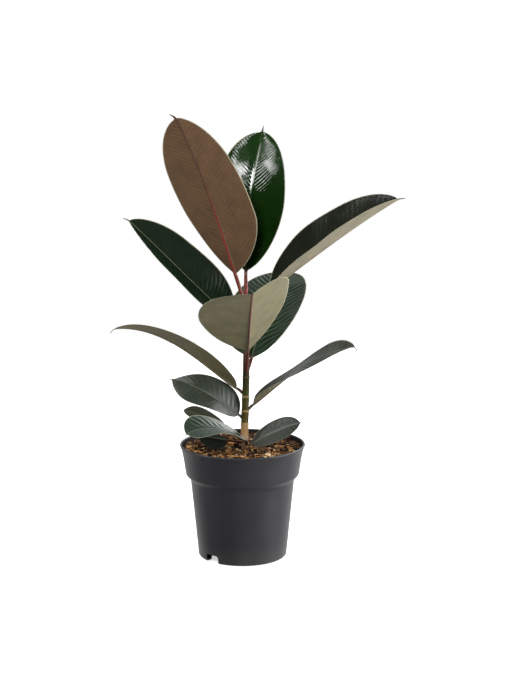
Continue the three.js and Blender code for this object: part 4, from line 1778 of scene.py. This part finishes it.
@dataclass(frozen=True)
class Surroundings:
    """Soft light from all sides: bright behind and above the plant, dim in front of it.

    A pair is the stretch of a unit direction's part over which a light fades in or out.
    """

    dim: float = 0.14  # what every direction gives
    back: float = 0.7
    back_depth: Pair = (0.15, 0.6)
    back_top: Pair = (0.3, 0.55)
    ceiling_left: float = 0.9
    ceiling_right: float = 2.2
    ceiling_across: Pair = (-0.1, 0.6)
    ceiling_height: Pair = (0.4, 0.65)
    ceiling_depth: Pair = (-0.15, 0.4)
    ground_left: float = 0.10
    ground_right: float = 0.38
    ground_across: Pair = (-0.7, 0.5)
    ground_height: Pair = (-0.12, 0.0)

    def build(self) -> None:
        """Set the surroundings, which look plain white to the camera."""
        world = bpy.data.worlds.new("studio")
        tree = Tree(world)
        way = tree.node("ShaderNodeTexCoord").outputs["Generated"]
        cut = tree.node("ShaderNodeSeparateXYZ", None, {0: way})
        x, y, z = (Value(tree, socket) for socket in cut.outputs)
        back = y.smooth(*self.back_depth) * (1.0 - z.smooth(*self.back_top))
        above = z.smooth(*self.ceiling_height) * y.smooth(*self.ceiling_depth)
        ceiling = lerp_value(self.ceiling_left, self.ceiling_right, x.smooth(*self.ceiling_across))
        below = 1.0 - z.smooth(*self.ground_height)
        ground = lerp_value(self.ground_left, self.ground_right, x.smooth(*self.ground_across))
        light = back * self.back + above * ceiling + below * ground + self.dim
        seen = Value(tree, tree.node("ShaderNodeLightPath").outputs["Is Camera Ray"])
        level = light + seen * (1.0 - light)
        sky = tree.node("ShaderNodeBackground", None, {"Color": (1.0, 1.0, 1.0), "Strength": level})
        tree.node("ShaderNodeOutputWorld", None, {"Surface": sky.outputs[0]})
        bpy.context.scene.world = world


@dataclass
class Studio:
    """The floor, the lights and the camera. Lengths in metres, but the lens in mm."""

    camera_at: Point = (0.017, -2.050, 0.666)
    pitch_down: float = 10.2
    lens: float = 82.2
    sensor: float = 36.0
    floor_size: float = 1.6
    floor_colour: Colour = (0.9, 0.9, 0.9)
    floor_glow: float = 0.55
    surroundings: Surroundings = field(default_factory=Surroundings)
    lights: tuple[Softbox, ...] = (
        Softbox("right_box", (1.50, -0.55, 0.22), (0.0, 0.0, 0.30), (0.8, 0.80), 25.0),
        Softbox("back_box", (0.95, 1.15, 1.15), (0.0, 0.0, 0.30), (0.9, 1.1), 22.0),
        Softbox("left_box", (-1.26, -0.46, 1.05), (0.03, 0.03, 0.60), (0.26, 1.00), 12.0),
        Softbox("front_box", (-0.37, -1.20, 1.24), (0.0, 0.04, 0.50), (0.46, 0.22), 10.0),
    )

    def build_floor(self) -> None:
        """Lay the pale floor, which is only there to be seen: its light comes with the surroundings."""
        bm = bmesh.new()
        bmesh.ops.create_grid(bm, x_segments=4, y_segments=4, size=self.floor_size)
        floor = to_object(bm, "floor")
        material, tree = new_material("floor_finish")
        glow = {"Emission_Color": (1.0, 1.0, 1.0, 1.0), "Emission_Strength": self.floor_glow}
        tree.surface(self.floor_colour, 0.7, **glow)
        floor.data.materials.append(material)
        floor.visible_diffuse = floor.visible_glossy = floor.visible_shadow = False
        floor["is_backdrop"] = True

    def build_camera(self) -> None:
        """Set the camera where the picture was taken from."""
        camera = bpy.data.cameras.new("camera")
        camera.lens = self.lens
        camera.sensor_width = self.sensor
        stand = bpy.data.objects.new("camera", camera)
        stand.location = self.camera_at
        stand.rotation_euler = (math.radians(90 - self.pitch_down), 0.0, 0.0)
        bpy.context.scene.collection.objects.link(stand)
        bpy.context.scene.camera = stand

    def build(self) -> None:
        """Build the whole studio."""
        self.build_camera()
        self.surroundings.build()
        bpy.context.scene.view_settings.view_transform = "Standard"
        self.build_floor()
        for light in self.lights:
            light.build()


# ------------------------------------------------------------------------------ the plant


def main() -> None:
    """Build the plant in its pot, piece by piece."""
    logging.basicConfig(level=logging.INFO, format="%(name)s %(message)s", stream=sys.stdout)
    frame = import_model()
    frame_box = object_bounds()
    Studio().build()
    Pot().build()
    SoilBed().build(frame["nodes"])
    Stem().build()
    Bud().build()
    for leaf in [*low_leaves(), *high_leaves()]:
        leaf.build()
    [[list(corner) for corner in box] for box in (frame_box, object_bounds())]


if __name__ == "__main__":
    main()
